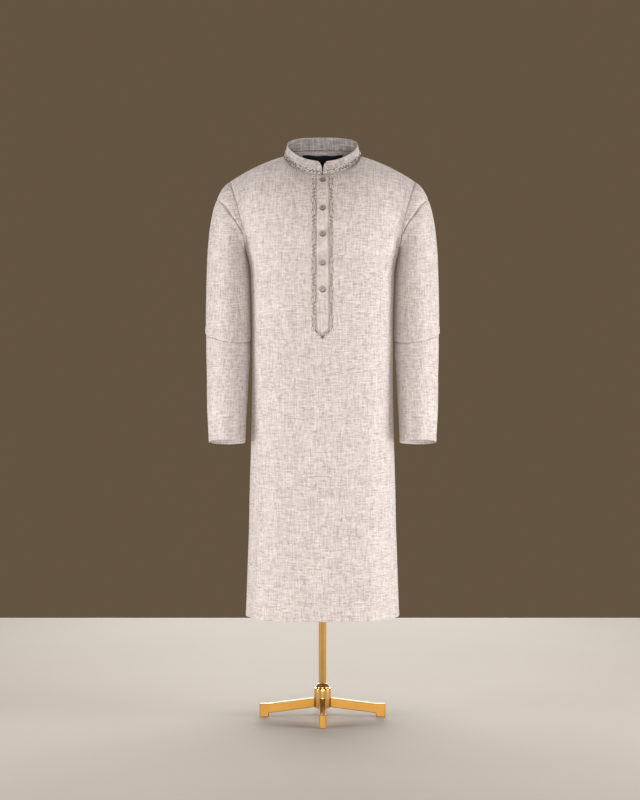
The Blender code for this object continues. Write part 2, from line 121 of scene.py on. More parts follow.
def slubLinen(name, base):
    # Plain weave of slub yarns, woven from spun linen and cotton. Thick grey and brown lengths show as
    # short dashes both ways, and the nap is matt.
    material, tree, shader = newMaterial(name, {
        "Roughness": linen["roughness"], "Specular IOR Level": 0.25,
        "Sheen Weight": 0.12, "Sheen Roughness": 0.55,
    })
    place = addNode(tree, "ShaderNodeUVMap", {"uv_map": "cut"})

    def yarns(across, up, seed, snap=(0, 0)):
        # Noise with lumps of that many mm, the same all over each yarn of a snapped width.
        spot = place
        if any(snap):
            grid = [side / 1000 or 0.000001 for side in snap]
            spot = addNode(tree, "ShaderNodeVectorMath", {"operation": "SNAP", 1: (*grid, 1)}, {0: spot})
        scale = [1000 * (linen["snapSpread"] if side else 1) / size for size, side in zip((across, up), snap)]
        spot = addNode(tree, "ShaderNodeVectorMath", {"operation": "MULTIPLY", 1: (*scale, 1)}, {0: spot})
        shift = [seed * step for step in linen["seedShift"]]
        spot = addNode(tree, "ShaderNodeVectorMath", {1: (*shift, 0)}, {0: spot})
        return addNode(tree, "ShaderNodeTexNoise", {
            "noise_dimensions": "2D", "Scale": 1, "Detail": 1, "Roughness": 0.5}, {"Vector": spot})

    mottle = yarns(linen["mottle"], linen["mottle"], 1)
    low, high = linen["mottleRange"]
    mottleShare = addNode(tree, "ShaderNodeMapRange", {
        "From Min": low, "From Max": high, "To Min": 0, "To Max": linen["mottleStrength"]}, {"Value": mottle})
    colour = addNode(tree, "ShaderNodeMix", {
        "data_type": "RGBA", 6: toLinear(base), 7: toLinear(linen["slub"])}, {0: mottleShare}).outputs[2]
    relief = None
    for seed, (weftRow, warpRow) in enumerate(zip(linen["weft"], linen["warp"]), start=2):
        for upright, (length, thick, yarn, low, high, strength) in enumerate((weftRow, warpRow)):
            if upright:
                noise = yarns(thick, length, seed + 10, (thick, 0))
            else:
                noise = yarns(length, thick, seed, (0, thick))
            share = addNode(tree, "ShaderNodeMapRange", {
                "From Min": low, "From Max": high, "To Min": 0, "To Max": strength}, {"Value": noise})
            colour = addNode(tree, "ShaderNodeMix", {"data_type": "RGBA", 7: toLinear(linen[yarn])},
                             {0: share, 6: colour}).outputs[2]
            relief = share if relief is None else addNode(
                tree, "ShaderNodeMath", {"operation": "ADD"}, {0: relief, 1: share})
    weft = yarns(linen["threadLength"], linen["thread"], 30, (0, linen["thread"]))
    warp = yarns(linen["thread"], linen["threadLength"], 31, (linen["thread"], 0))
    weave = addNode(tree, "ShaderNodeMath", {"operation": "ADD"}, {0: weft, 1: warp})
    darkest, lightest = linen["hatch"]
    hatch = addNode(tree, "ShaderNodeMapRange", {
        "From Min": 0.7, "From Max": 1.3, "To Min": darkest, "To Max": lightest}, {"Value": weave})
    colour = addNode(tree, "ShaderNodeVectorMath", {"operation": "SCALE"}, {0: colour, "Scale": hatch})
    height = addNode(tree, "ShaderNodeMath", {"operation": "MULTIPLY_ADD", 1: 0.6}, {0: relief, 2: weave})
    finishShader(tree, shader, colour.outputs[0], height, 0.3, 0.0003)
    return material


def threadMaterial(name, colour, shade):
    # Twisted floss or thread: a soft sheen along the stitch, and painted shade between the strands.
    material, tree, shader = newMaterial(name, {
        "Roughness": 0.55, "Specular IOR Level": 0.4, "Sheen Weight": 0.15})
    place = addNode(tree, "ShaderNodeTexCoord")
    strands = addNode(tree, "ShaderNodeTexNoise", {"Scale": 900, "Detail": 2},
                      {"Vector": place.outputs["Object"]})
    mixed = addNode(tree, "ShaderNodeMix", {
        "data_type": "RGBA", 6: toLinear(colour), 7: toLinear(shade)}, {0: strands})
    finishShader(tree, shader, mixed.outputs[2], strands, 0.4, 0.0002)
    return material


def ease(low, high, value):  # 0 at low and 1 at high, level at both ends
    share = np.clip((value - low) / (high - low), 0, 1)
    return share * share * (3 - 2 * share)


def along(table, where):  # the table's columns on a smooth curve through its rows, at values of its first one
    rows = np.array(table, float)
    where = np.asarray(where, float)
    knots = rows[:, 0]
    slopes = np.gradient(rows, knots, axis=0)
    low = np.clip(np.searchsorted(knots, where) - 1, 0, len(knots) - 2)
    span = (knots[low + 1] - knots[low])[..., None]
    share = (where - knots[low])[..., None] / span
    start = rows[low] * (2 * share**3 - 3 * share**2 + 1)
    startSlope = slopes[low] * span * (share**3 - 2 * share**2 + share)
    end = rows[low + 1] * (3 * share**2 - 2 * share**3)
    return start + startSlope + end + slopes[low + 1] * span * (share**3 - share**2)


def spaced(length, step, fine=(), reach=0.004, fineStep=0.0007):
    # Places from 0 to length, a step apart, and closer near each fine one.
    places = set(np.linspace(0, length, max(int(length / step), 2)))
    for centre in fine:
        near = np.arange(-reach, reach + fineStep / 2, fineStep) + centre
        places = {place for place in places if abs(place - centre) > reach} | set(near)
    places |= {0.0, length}
    kept = sorted(place for place in places if 0 <= place <= length)
    pairs = zip(kept, kept[1:])
    apart = [place for before, place in pairs if place - before > fineStep / 3 or place == length]
    return np.array(kept[:1] + apart)


def normalsOf(grid, flip, closed=False):  # outwards at each point
    wide = np.concatenate((grid[:, -2:-1], grid, grid[:, 1:2]), axis=1) if closed else grid
    across = np.gradient(wide, axis=1)
    if closed:
        across = across[:, 1:-1]
    over = np.cross(across, np.gradient(grid, axis=0))
    over /= np.maximum(np.linalg.norm(over, axis=2, keepdims=True), 1e-12)
    return -over if flip else over


cut = {
    "leastSteep": 0.3,  # where cloth lies flatter than this, v counts it as this steep
    "leastAcross": 0.5,  # a step across is never counted as less than this share of its length
}


def measured(grid, middle, flip, closed, level, vStart):
    # u and v of each point on the flat cut. u goes across the rows from the middle column. v goes up the
    # columns, or up the steepest way on a level piece, so that its weft hangs level.
    up = np.linalg.norm(np.diff(grid, axis=0), axis=2)
    if level:
        steep = np.sqrt(np.maximum(1 - normalsOf(grid, flip, closed)[..., 2] ** 2, cut["leastSteep"]))
        up = np.diff(grid[..., 2], axis=0) * 2 / (steep[1:] + steep[:-1])
    v = vStart + np.concatenate((np.zeros((1, grid.shape[1])), np.cumsum(up, axis=0)))
    step = np.linalg.norm(np.diff(grid, axis=1), axis=2)
    slant = np.diff(v, axis=1)
    flat = np.sqrt(np.maximum(step**2 - slant**2, (cut["leastAcross"] * step) ** 2))
    u = np.concatenate((np.zeros((grid.shape[0], 1)), np.cumsum(flat, axis=1)), axis=1)
    return u - u[:, middle : middle + 1], v


creaseShape = {
    "steps": 25,
    "ends": 0.25,  # how deep a crease still is at its ends
    "fade": 0.8,
}


def creaseField(u, v, creases):
    # Soft troughs and ridges. Each has three points, a half width and a depth, which is negative on a ridge.
    field = np.zeros_like(u)
    for start, bend, end, halfWidth, depth in creases:
        shares = np.linspace(0, 1, creaseShape["steps"])[:, None]
        path = (1 - shares) ** 2 * np.array(start) + 2 * shares * (1 - shares) * np.array(bend)
        path = path + shares**2 * np.array(end)
        best = np.full(u.shape, 1e9)
        where = np.zeros(u.shape)
        for share, (pathU, pathV) in zip(shares[:, 0], path):
            distance = (u - pathU) ** 2 + (v - pathV) ** 2
            nearer = distance < best
            best = np.where(nearer, distance, best)
            where = np.where(nearer, share, where)
        fade = np.sin(np.pi * np.clip(where, 0, 1)) ** creaseShape["fade"]
        fade = creaseShape["ends"] + (1 - creaseShape["ends"]) * fade
        field -= depth * fade * np.exp(-best / halfWidth**2)
    return field


def sewnEdge(distance):  # how far a sewn edge sinks, at a distance from it
    share = np.clip(1 - distance / seam["roll"], 0, 1)
    return -seam["sink"] * share**2


def stitchedHem(past, fold):  # the rise at a distance past a row of hem stitches, for a fold that high
    dent = seam["dent"] * np.exp(-((past / seam["dentWidth"]) ** 2))
    return fold * (1 - ease(-seam["foldStep"], seam["foldStep"], past)) - dent


def sheetOf(grid, middle, flip, creases=(), relief=None, closed=False, level=False, vStart=0.0):
    # A cloth surface as one dictionary: its points, normals, and u and v on the flat cut.
    u, v = measured(grid, middle, flip, closed, level, vStart)
    rise = creaseField(u, v, creases)
    if relief is not None:
        rise = rise + relief(u, v)
    grain = (u, v, np.zeros(len(u)))
    if closed:  # a tube's threads are counted level from its inner line, both ways round to the outer one
        steps = np.linalg.norm(np.diff(grid[..., :2], axis=1), axis=2)
        around = np.concatenate((np.zeros((len(grid), 1)), np.cumsum(steps, axis=1)), axis=1)
        grain = (around, grid[..., 2], around[:, -1])
    grid = grid + normalsOf(grid, flip, closed) * rise[..., None]
    return {"grid": grid, "normals": normalsOf(grid, flip, closed), "u": u, "v": v, "grain": grain,
            "middle": middle, "flip": flip, "closed": closed}


def layOn(sheet, flat):
    # Points at (u, v, height over the cloth) put on a sheet.
    u, v = sheet["u"], sheet["v"]
    rowPlace = np.interp(flat[:, 1], v[:, sheet["middle"]], np.arange(len(v)))
    low = np.minimum(rowPlace.astype(int), len(v) - 2)
    share = rowPlace - low
    columns = np.arange(u.shape[1])
    column = np.array([
        np.interp(across, u[row] * (1 - part) + u[row + 1] * part, columns)
        for across, row, part in zip(flat[:, 0], low, share)])
    left = np.minimum(column.astype(int), len(columns) - 2)
    part = (column - left)[:, None]
    share = share[:, None]

    def sample(field):
        lower = field[low, left] * (1 - part) + field[low, left + 1] * part
        upper = field[low + 1, left] * (1 - part) + field[low + 1, left + 1] * part
        return lower * (1 - share) + upper * share

    return sample(sheet["grid"]) + sample(sheet["normals"]) * flat[:, 2:3]


def addMesh(name, points, faces, material, uv=None):
    mesh = bpy.data.meshes.new(name)
    mesh.from_pydata(points.tolist(), [], faces if isinstance(faces, list) else faces.tolist())
    mesh.shade_smooth()
    mesh.materials.append(material)
    if uv is not None:
        mesh.uv_layers.new(name="cut").data.foreach_set("uv", uv.astype(np.float32).ravel())
    piece = bpy.data.objects.new(name, mesh)
    bpy.context.scene.collection.objects.link(piece)
    return piece


def addCloth(name, sheet, thickness, material, inside=None):
    # The sheet as quads, with its wall grown inwards by Solidify. A closed sheet's last column is its first.
    rows, columns = sheet["u"].shape
    wide = columns - 1 if sheet["closed"] else columns
    row, column = np.meshgrid(np.arange(rows - 1), np.arange(columns - 1), indexing="ij")
    row, column = row.ravel(), column.ravel()
    corners = [(row, column), (row, column + 1), (row + 1, column + 1), (row + 1, column)]
    if sheet["flip"]:
        corners.reverse()
    faces = np.stack([r * wide + c % wide for r, c in corners], axis=1)
    across, up, girth = sheet["grain"]
    past = column >= sheet["middle"]
    uv = np.stack([np.stack((across[r, c] - girth[r] * past, up[r, c]), axis=1) for r, c in corners], axis=1)
    piece = addMesh(name, sheet["grid"][:, :wide].reshape(-1, 3), faces, material, uv)
    wall = piece.modifiers.new("wall", "SOLIDIFY")
    wall.thickness = thickness
    wall.offset = -1
    if inside:  # a second material on the inner side, which the collar uses for painted shade
        piece.data.materials.append(inside)
        wall.material_offset = 1
    return piece


def standFor(piece, node):  # rides, and hides its solid
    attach(piece, "root")
    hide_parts(node)


def declare(piece, node):  # rides, and hides its solid, through standFor
    standFor(piece, node)


trunk = {
    "sections": (  # height, half width, front depth, back depth, squareness
        (0.241, 0.1770, 0.1440, 0.1380, 3.0),
        (0.343, 0.1735, 0.1400, 0.1340, 2.9),
        (0.435, 0.1702, 0.1365, 0.1300, 2.8),
        (0.540, 0.1680, 0.1330, 0.1260, 2.75),
        (0.620, 0.1655, 0.1300, 0.1235, 2.7),
        (0.830, 0.1622, 0.1255, 0.1185, 2.6),
        (0.990, 0.1642, 0.1245, 0.1170, 2.5),
        (1.050, 0.1680, 0.1240, 0.1165, 2.5),
        (1.083, 0.1770, 0.1235, 0.1165, 2.5),
    ),
    "flutes": (  # side, turn, width, depth: soft folds from the hip to the hem
        (-1, -0.66, 0.10, 0.0035),
        (-1, 0.60, 0.11, 0.0030),
        (1, -0.58, 0.12, 0.0055),
        (1, -0.12, 0.10, 0.0040),
        (1, 0.42, 0.13, 0.0060),
    ),
    "fluteStart": 0.80,
    "hem": 0.241,
    "armpit": 1.083,
    "neckHalfWidth": 0.0877,
    "neckFront": 0.075,
    "neckBack": 0.062,
    "neckSide": 1.2985,
    "neckSlope": 0.45,
    "neckRounding": 2.7,
    "shoulderTip": (0.2128, 1.240),
    "shoulderCrown": 0.0055,
    "neckTurn": 1 / 3,
    "chestRoll": math.radians(60),
    "shoulderRoll": math.radians(90),
    "slitTop": 0.50,
    "slitOpening": 0.004,
    "hemFold": 0.012,  # from the edge to the stitches
    "columns": 0.0046,
    "rows": 0.0046,
    "halfGirth": 0.25,  # about half a panel's width, to space its columns
    "bodice": 0.22,  # about the height over the armpits, to space its rows
    "edgeColumns": (0, 0.001, 0.0022, 0.0036),  # in from the side seam
    "hemRise": 0.0005,
    "slitDent": (0.0030, 0.0004),  # width and depth
}


def bodyRow(side, turns, height):  # a row of the oval body; turns go from -1 to 1 between the side seams
    _, halfWidth, frontDepth, backDepth, squareness = along(trunk["sections"], height)
    depth = frontDepth if side < 0 else backDepth
    across, forward = np.sin(turns * math.pi / 2), np.cos(turns * math.pi / 2)
    reach = (abs(across) ** squareness + abs(forward) ** squareness) ** (-1 / squareness)
    hang = ease(trunk["fluteStart"], trunk["hem"], height)
    for fluteSide, turn, width, fluteDepth in trunk["flutes"]:
        if fluteSide == side:
            reach = reach - hang * fluteDepth * np.exp(-(((turns - turn) / width) ** 2)) / depth
    slit = trunk["slitOpening"] * ease(trunk["slitTop"], trunk["hem"], height) * abs(turns) ** 12
    y = side * (depth * forward * reach + slit)
    return np.stack((halfWidth * across * reach, y, np.full_like(turns, height)), axis=1)


def shoulderLine(share):  # from the neck at 0 to the shoulder tip at 1
    tipX, tipZ = trunk["shoulderTip"]
    x = trunk["neckHalfWidth"] + (tipX - trunk["neckHalfWidth"]) * share
    drop = (trunk["neckSide"] - tipZ) * share
    z = trunk["neckSide"] - drop + trunk["shoulderCrown"] * 4 * share * (1 - share)
    return np.stack((x, 0 * share, z), axis=1)


def neckline(side, quarter):  # from the centre at 0 to the shoulder seam at 1
    forward = side * (trunk["neckFront"] if side < 0 else trunk["neckBack"]) * np.cos(quarter * math.pi / 2)
    z = trunk["neckSide"] + trunk["neckSlope"] * forward - trunk["neckRounding"] * forward**2
    return np.stack((trunk["neckHalfWidth"] * np.sin(quarter * math.pi / 2), forward, z), axis=1)


def topEdge(side, turns):  # the neckline in the middle, and the shoulder seams to its sides
    shares = np.maximum(abs(turns) - trunk["neckTurn"], 0) / (1 - trunk["neckTurn"])
    outer = shoulderLine(shares)
    outer[:, 0] *= np.sign(turns)
    inside = abs(turns) <= trunk["neckTurn"]
    return np.where(inside[:, None], neckline(side, np.clip(turns / trunk["neckTurn"], -1, 1)), outer)


def bodiceRow(side, turns, climb):  # climb goes from 0 at the armpits to 1 at the top edge
    share = ease(0, trunk["neckTurn"], abs(turns))
    roll = trunk["chestRoll"] + (trunk["shoulderRoll"] - trunk["chestRoll"]) * share
    rise = np.sin(roll * climb) / np.sin(roll)
    turnIn = (1 - np.cos(roll * climb)) / (1 - np.cos(roll))
    shares = np.stack((np.full_like(turns, climb), turnIn, rise), axis=1)
    base = bodyRow(side, turns, trunk["armpit"]) * (1 - shares) + topEdge(side, turns) * shares
    armhole = ringPoints(0.0, -side * math.pi * (1 - climb))
    ends = np.array((-1.0, 1.0))
    endRoll = trunk["shoulderRoll"]
    endShares = np.array((climb, (1 - math.cos(endRoll * climb)), math.sin(endRoll * climb)))
    endBase = bodyRow(side, ends, trunk["armpit"]) * (1 - endShares) + topEdge(side, ends) * endShares
    pulls = armhole * np.array(((-1, 1, 1), (1, 1, 1))) - endBase  # what brings its ends on to the armholes
    return base + np.where(turns[:, None] < 0, pulls[0], pulls[1]) * (turns**2)[:, None]


def panelGrid(side):
    turns = np.linspace(0, 1, int(trunk["halfGirth"] / trunk["columns"]))
    edge = [1 - place / (trunk["sections"][-1][2] * math.pi / 2) for place in trunk["edgeColumns"]]
    turns = np.array(sorted([t for t in turns if t < edge[-1] - 0.008] + edge))
    turns = np.concatenate((-turns[:0:-1], turns))
    length = trunk["armpit"] - trunk["hem"]
    heights = trunk["hem"] + spaced(length, trunk["rows"], (0.0, trunk["hemFold"]), 0.003)
    rows = [bodyRow(side, turns, height) for height in heights[:-1]]
    climbs = spaced(trunk["bodice"], trunk["rows"], (trunk["bodice"],), 0.004) / trunk["bodice"]
    rows += [bodiceRow(side, turns, climb) for climb in climbs]
    return np.array(rows) + (0, side * seam["gap"] / 2, 0), len(turns) // 2


def panelRelief(u, v):
    halfWidth = np.ptp(u, axis=1)[:, None] / 2
    slitTop = trunk["slitTop"] - trunk["hem"]
    sewn = ease(slitTop - 0.01, slitTop + 0.01, v)
    rise = sewnEdge(halfWidth - abs(u)) * sewn + 0.5 * sewnEdge(v[-1:] - v)
    width, depth = trunk["slitDent"]
    slit = (halfWidth - abs(u) - trunk["hemFold"]) / width
    rise = rise + stitchedHem(v - trunk["hemFold"], trunk["hemRise"])
    return rise - depth * np.exp(-(slit**2)) * (1 - sewn)


frontCreases = (  # start, bend and end as (u, v), half width, depth; a negative depth is a ridge
    ((-0.150, 0.860), (-0.110, 0.900), (-0.085, 0.960), 0.016, 0.0030),
    ((-0.165, 0.880), (-0.135, 0.930), (-0.120, 1.010), 0.013, 0.0026),
    ((-0.140, 0.830), (-0.100, 0.840), (-0.060, 0.870), 0.018, 0.0016),
    ((0.152, 0.862), (0.115, 0.905), (0.092, 0.955), 0.015, 0.0032),
    ((0.168, 0.885), (0.140, 0.940), (0.128, 1.020), 0.013, 0.0024),
    ((0.140, 0.820), (0.105, 0.830), (0.070, 0.850), 0.018, 0.0018),
    ((-0.062, 0.760), (-0.055, 0.900), (-0.060, 1.000), 0.014, 0.0014),
    ((0.058, 0.740), (0.064, 0.880), (0.056, 0.990), 0.014, 0.0016),
    ((-0.100, 0.100), (-0.092, 0.350), (-0.080, 0.600), 0.026, 0.0020),
    ((0.050, 0.050), (0.060, 0.300), (0.050, 0.520), 0.030, 0.0018),
    ((-0.030, 0.020), (-0.020, 0.250), (-0.025, 0.420), 0.034, 0.0016),
    ((0.120, 0.060), (0.112, 0.300), (0.100, 0.560), 0.026, -0.0016),
    ((-0.150, 0.420), (-0.080, 0.440), (0.020, 0.430), 0.022, 0.0010),
    ((0.160, 0.500), (0.100, 0.520), (0.030, 0.515), 0.020, 0.0010),
)
backCreases = (
    ((-0.155, 0.860), (-0.110, 0.920), (-0.090, 1.000), 0.017, 0.0032),
    ((0.150, 0.855), (0.110, 0.910), (0.085, 0.990), 0.016, 0.0030),
    ((-0.060, 0.980), (0.000, 0.965), (0.064, 0.982), 0.014, 0.0022),
    ((-0.090, 0.900), (0.000, 0.885), (0.080, 0.905), 0.018, 0.0018),
    ((-0.040, 0.080), (-0.050, 0.380), (-0.030, 0.700), 0.024, 0.0028),
    ((0.080, 0.060), (0.070, 0.330), (0.085, 0.620), 0.026, 0.0026),
    ((-0.130, 0.100), (-0.120, 0.300), (-0.100, 0.560), 0.022, 0.0022),
    ((-0.140, 0.560), (-0.050, 0.585), (0.060, 0.575), 0.024, 0.0014),
    ((0.150, 0.640), (0.060, 0.650), (-0.020, 0.660), 0.022, 0.0012),
)


sleeve = {
    "rings": (  # outer x, outer z, inner x, inner z, middle y, half depth, front rise, hollow
        (0.2128, 1.2400, 0.1770, 1.0830, 0, 0.0720, 0, 0.0065),
        (0.2165, 1.2374, 0.1769, 1.0822, 0, 0.0722, 0, 0.0062),
        (0.2300, 1.2240, 0.1767, 1.0800, 0, 0.0728, 0, 0.0052),
        (0.2400, 1.2060, 0.1765, 1.0775, 0, 0.0705, 0, 0.0038),
        (0.2480, 1.1860, 0.1762, 1.0745, 0, 0.0730, 0, 0.0024),
        (0.2570, 1.1480, 0.1752, 1.0680, -0.001, 0.0725, 0, 0.0010),
        (0.2640, 1.0880, 0.1731, 1.0550, -0.002, 0.0715, 0, 0),
        (0.2670, 1.0250, 0.1695, 1.0200, -0.003, 0.0705, 0, 0),
        (0.2685, 0.9600, 0.1672, 0.9650, -0.004, 0.0690, -0.03, 0),
        (0.2692, 0.9120, 0.1664, 0.9120, -0.005, 0.0680, -0.08, 0),
        (0.2695, 0.8930, 0.1664, 0.8760, -0.006, 0.0675, -0.15, 0),
        (0.2684, 0.8870, 0.1672, 0.8690, -0.007, 0.0662, -0.13, 0),
        (0.2680, 0.8550, 0.1668, 0.8500, -0.010, 0.0650, 0.02, 0),
        (0.2662, 0.8000, 0.1692, 0.8000, -0.019, 0.0610, 0.12, 0),
        (0.2648, 0.7200, 0.1732, 0.7200, -0.032, 0.0555, 0.155, 0),
        (0.2602, 0.6410, 0.1770, 0.6410, -0.045, 0.0500, 0.155, 0),
    ),
    "headFold": (  # degrees round from the outer line, metres down the sleeve
        (0, 0.0298), (77, 0.0207), (100, 0.0133), (123, 0.0036), (140, 0.0012), (180, 0.0008),
    ),
    "headDepth": {"fromOuter": (15, 60), "toInner": (140, 170), "least": 0.12, "atInner": 0.4},
    "headLap": (0.0010, 0.011),  # height and width over the fold
    "headSwell": (0.0004, 0.014),  # the same below it
    "headGroove": (0.0080, 0.0015, 0.0008),  # depth, width, and how far below the fold it lies
    "elbowRing": 10.55,  # where the lap over the elbow ends
    "elbowLap": (0.0006, 0.012),
    "elbowGroove": (0.0050, 0.0012, 0.0010),
    "columns": 108,
    "rows": 0.0044,
    "cuffFold": 0.0115,
    "cuffRise": 0.0004,
}


def ringLengths():  # how far down the sleeve each ring is, along its middle
    rings = np.array(sleeve["rings"])
    outer = np.linalg.norm(np.diff(rings[:, 0:2], axis=0), axis=1)
    inner = np.linalg.norm(np.diff(rings[:, 2:4], axis=0), axis=1)
    return np.concatenate(([0], np.cumsum((outer + inner) / 2)))


def ringPoints(down, angles):
    table = np.column_stack((ringLengths(), sleeve["rings"]))
    row = along(table, down)
    _, outerX, outerZ, innerX, innerZ, middleY, halfDepth, frontRise, hollow = np.moveaxis(row, -1, 0)
    swing, depth = np.cos(angles), -halfDepth * np.sin(angles)
    x = (outerX + innerX) / 2 + (outerX - innerX) / 2 * swing - hollow * np.sin(angles) ** 2
    z = (outerZ + innerZ) / 2 + (outerZ - innerZ) / 2 * swing - frontRise * depth
    return np.stack((x, middleY + depth, z), axis=-1)


def sleeveSheet(hand, creases):
    angles = np.linspace(-math.pi, math.pi, sleeve["columns"] + 1)
    lengths = ringLengths()
    head = np.interp(np.degrees(abs(angles)), *np.transpose(sleeve["headFold"]))
    elbow = np.interp(sleeve["elbowRing"], np.arange(len(lengths)), lengths)
    zones = [(0 * head, head), (head, elbow + 0 * head), (elbow + 0 * head, lengths[-1] + 0 * head)]
    spans = [sleeve["headFold"][0][1], elbow, lengths[-1] - elbow]
    fine = [(spans[0],), (0.0, spans[1]), (0.0, spans[2] - sleeve["cuffFold"], spans[2])]
    rows, marks = [], []
    for zone, ((start, end), span, near) in enumerate(zip(zones, spans, fine)):
        for place in spaced(span, sleeve["rows"], near)[(zone > 0) :]:  # a zone starts on the last one's end
            rows.append(start + (end - start) * place / span)
            marks.append(zone + place / span)
    down = np.array(rows)[::-1]  # from the cuff up
    grid = ringPoints(down, angles[None, :]) + (seam["gap"], 0, 0)
    edge = down - down[-1:]

    def bell(distance, height, width, shift=0):
        return height * np.exp(-(((distance + shift) / width) ** 2))

    def relief(u, v):
        around = np.degrees(abs(angles))[None, :]
        depth = sleeve["headDepth"]
        outer = depth["least"] + (1 - depth["least"]) * ease(*depth["fromOuter"], around)
        inner = 1 - (1 - depth["atInner"]) * ease(*depth["toInner"], around)
        toHead = head[None, :] - down  # above the fold is positive
        lap = np.where(toHead > 0, bell(toHead, *sleeve["headLap"]), bell(toHead, *sleeve["headSwell"]))
        rise = outer * inner * (lap - bell(toHead, *sleeve["headGroove"]))
        toElbow = elbow - down
        rise = rise + bell(toElbow, *sleeve["elbowLap"]) * (toElbow > 0)
        rise = rise - bell(toElbow, *sleeve["elbowGroove"])
        return rise + sewnEdge(edge) + stitchedHem(v - sleeve["cuffFold"], sleeve["cuffRise"])

    grid = grid * (hand, 1, 1)
    if hand < 0:
        creases = tuple((*[(-u, v) for u, v in crease[:3]], *crease[3:]) for crease in creases)
    return sheetOf(grid, sleeve["columns"] // 2, hand > 0, creases, relief, closed=True, level=True)


# u runs round the sleeve from its outer line, and towards the front
leftSleeveCreases = (
    ((0.020, 0.300), (0.070, 0.330), (0.120, 0.310), 0.012, 0.0028),
    ((0.030, 0.210), (0.075, 0.190), (0.110, 0.215), 0.012, 0.0020),
    ((0.080, 0.420), (0.085, 0.380), (0.078, 0.330), 0.012, 0.0020),
    ((0.060, 0.180), (0.066, 0.110), (0.058, 0.040), 0.014, 0.0016),
    ((0.105, 0.160), (0.100, 0.100), (0.104, 0.030), 0.012, 0.0014),
    ((-0.090, 0.300), (-0.060, 0.280), (-0.030, 0.300), 0.014, 0.0026),
    ((-0.100, 0.230), (-0.070, 0.215), (-0.035, 0.235), 0.013, 0.0022),
    ((-0.080, 0.440), (-0.070, 0.400), (-0.075, 0.350), 0.014, 0.0020),
    ((0.120, 0.500), (0.100, 0.470), (0.090, 0.430), 0.013, 0.0026),
)
rightSleeveCreases = (
    ((0.015, 0.310), (0.065, 0.325), (0.125, 0.305), 0.012, 0.0026),
    ((0.035, 0.200), (0.080, 0.185), (0.115, 0.205), 0.012, 0.0022),
    ((0.075, 0.430), (0.080, 0.390), (0.072, 0.340), 0.013, 0.0018),
    ((0.055, 0.170), (0.062, 0.105), (0.060, 0.035), 0.014, 0.0018),
    ((0.100, 0.150), (0.096, 0.090), (0.100, 0.030), 0.012, 0.0012),
    ((-0.095, 0.310), (-0.062, 0.290), (-0.028, 0.305), 0.014, 0.0024),
    ((-0.090, 0.220), (-0.065, 0.205), (-0.030, 0.220), 0.013, 0.0020),
    ((-0.072, 0.430), (-0.066, 0.390), (-0.070, 0.345), 0.014, 0.0022),
    ((0.118, 0.505), (0.098, 0.475), (0.088, 0.440), 0.013, 0.0024),
)


collar = {
    "height": {"back": 0.0315, "side": 0.0275, "front": 0.0310},
    "lean": 0.925,  # its top edge's size against its seam's
    "endGap": 0.0012,  # from the centre front to each end
    "corner": 0.0125,  # how far from its ends the top edge starts to round off
    "cornerDrop": 0.020,
    "thickness": 0.0018,
    "places": (74, 66),  # points along half of its seam, in front and behind
    "cornerStep": 0.0008,
    "rowSpan": 0.03,  # about its height, to space its rows
    "rows": 0.0014,
    "topRoll": (0.0012, 0.0005),  # how far down its top edge rolls in, and how deep
}


def collarLine():  # along its seam, from the right end round the back to the left end
    front, back = [
        neckline(side, np.linspace(0, 1, places)) + (0, side * seam["gap"] / 2, 0)
        for side, places in zip((-1, 1), collar["places"])]
    ends = collar["endGap"] + spaced(collar["corner"], collar["cornerStep"], (0.0,), 0.001, 0.0003)
    corner = np.stack([np.interp(ends, front[:, 0], front[:, axis]) for axis in range(3)], axis=1)
    frontHalf = np.concatenate((corner, front[front[:, 0] > ends[-1] + 0.0005]))
    half = np.concatenate((frontHalf, back[-2:0:-1]))
    return np.concatenate((half * (-1, 1, 1), back[:1], half[::-1])), len(half)


def collarSheet():
    line, middle = collarLine()
    isBack = line[:, 1] > 0
    depth = np.where(isBack, trunk["neckBack"], trunk["neckFront"])
    tall = np.where(isBack, collar["height"]["back"], collar["height"]["front"])
    height = collar["height"]["side"] + (tall - collar["height"]["side"]) * (line[:, 1] / depth) ** 2
    reach = np.clip(abs(line[:, 0]) - collar["endGap"], 0, collar["corner"])
    rounding = collar["cornerDrop"] * (1 - np.sqrt(1 - (1 - reach / collar["corner"]) ** 2))
    height = height - np.where(line[:, 1] < 0, rounding, 0)
    span = collar["rowSpan"]
    shares = spaced(span, collar["rows"], (0.0, span), 0.002, 0.0006)[:, None] / span
    lean = 1 - (1 - collar["lean"]) * shares
    least = np.where(line[:, 1] < 0, collar["endGap"], 0)
    x = np.sign(line[:, 0]) * np.maximum(abs(line[:, 0]) * lean, least)
    z = line[:, 2] + seam["gap"] + height * shares

    def relief(u, v):
        width, deep = collar["topRoll"]
        return 0.4 * sewnEdge(v) - deep * np.clip(1 - (v[-1:] - v) / width, 0, 1) ** 2

    return sheetOf(np.stack((x, line[:, 1] * lean, z), axis=2), middle, True, collarCreases, relief)


collarCreases = (
    ((-0.200, 0.006), (-0.190, 0.014), (-0.196, 0.026), 0.010, 0.0008),
    ((-0.080, 0.004), (-0.088, 0.016), (-0.078, 0.026), 0.009, 0.0006),
    ((0.070, 0.006), (0.078, 0.016), (0.072, 0.027), 0.010, 0.0007),
    ((0.190, 0.006), (0.184, 0.014), (0.188, 0.026), 0.009, 0.0008),
)


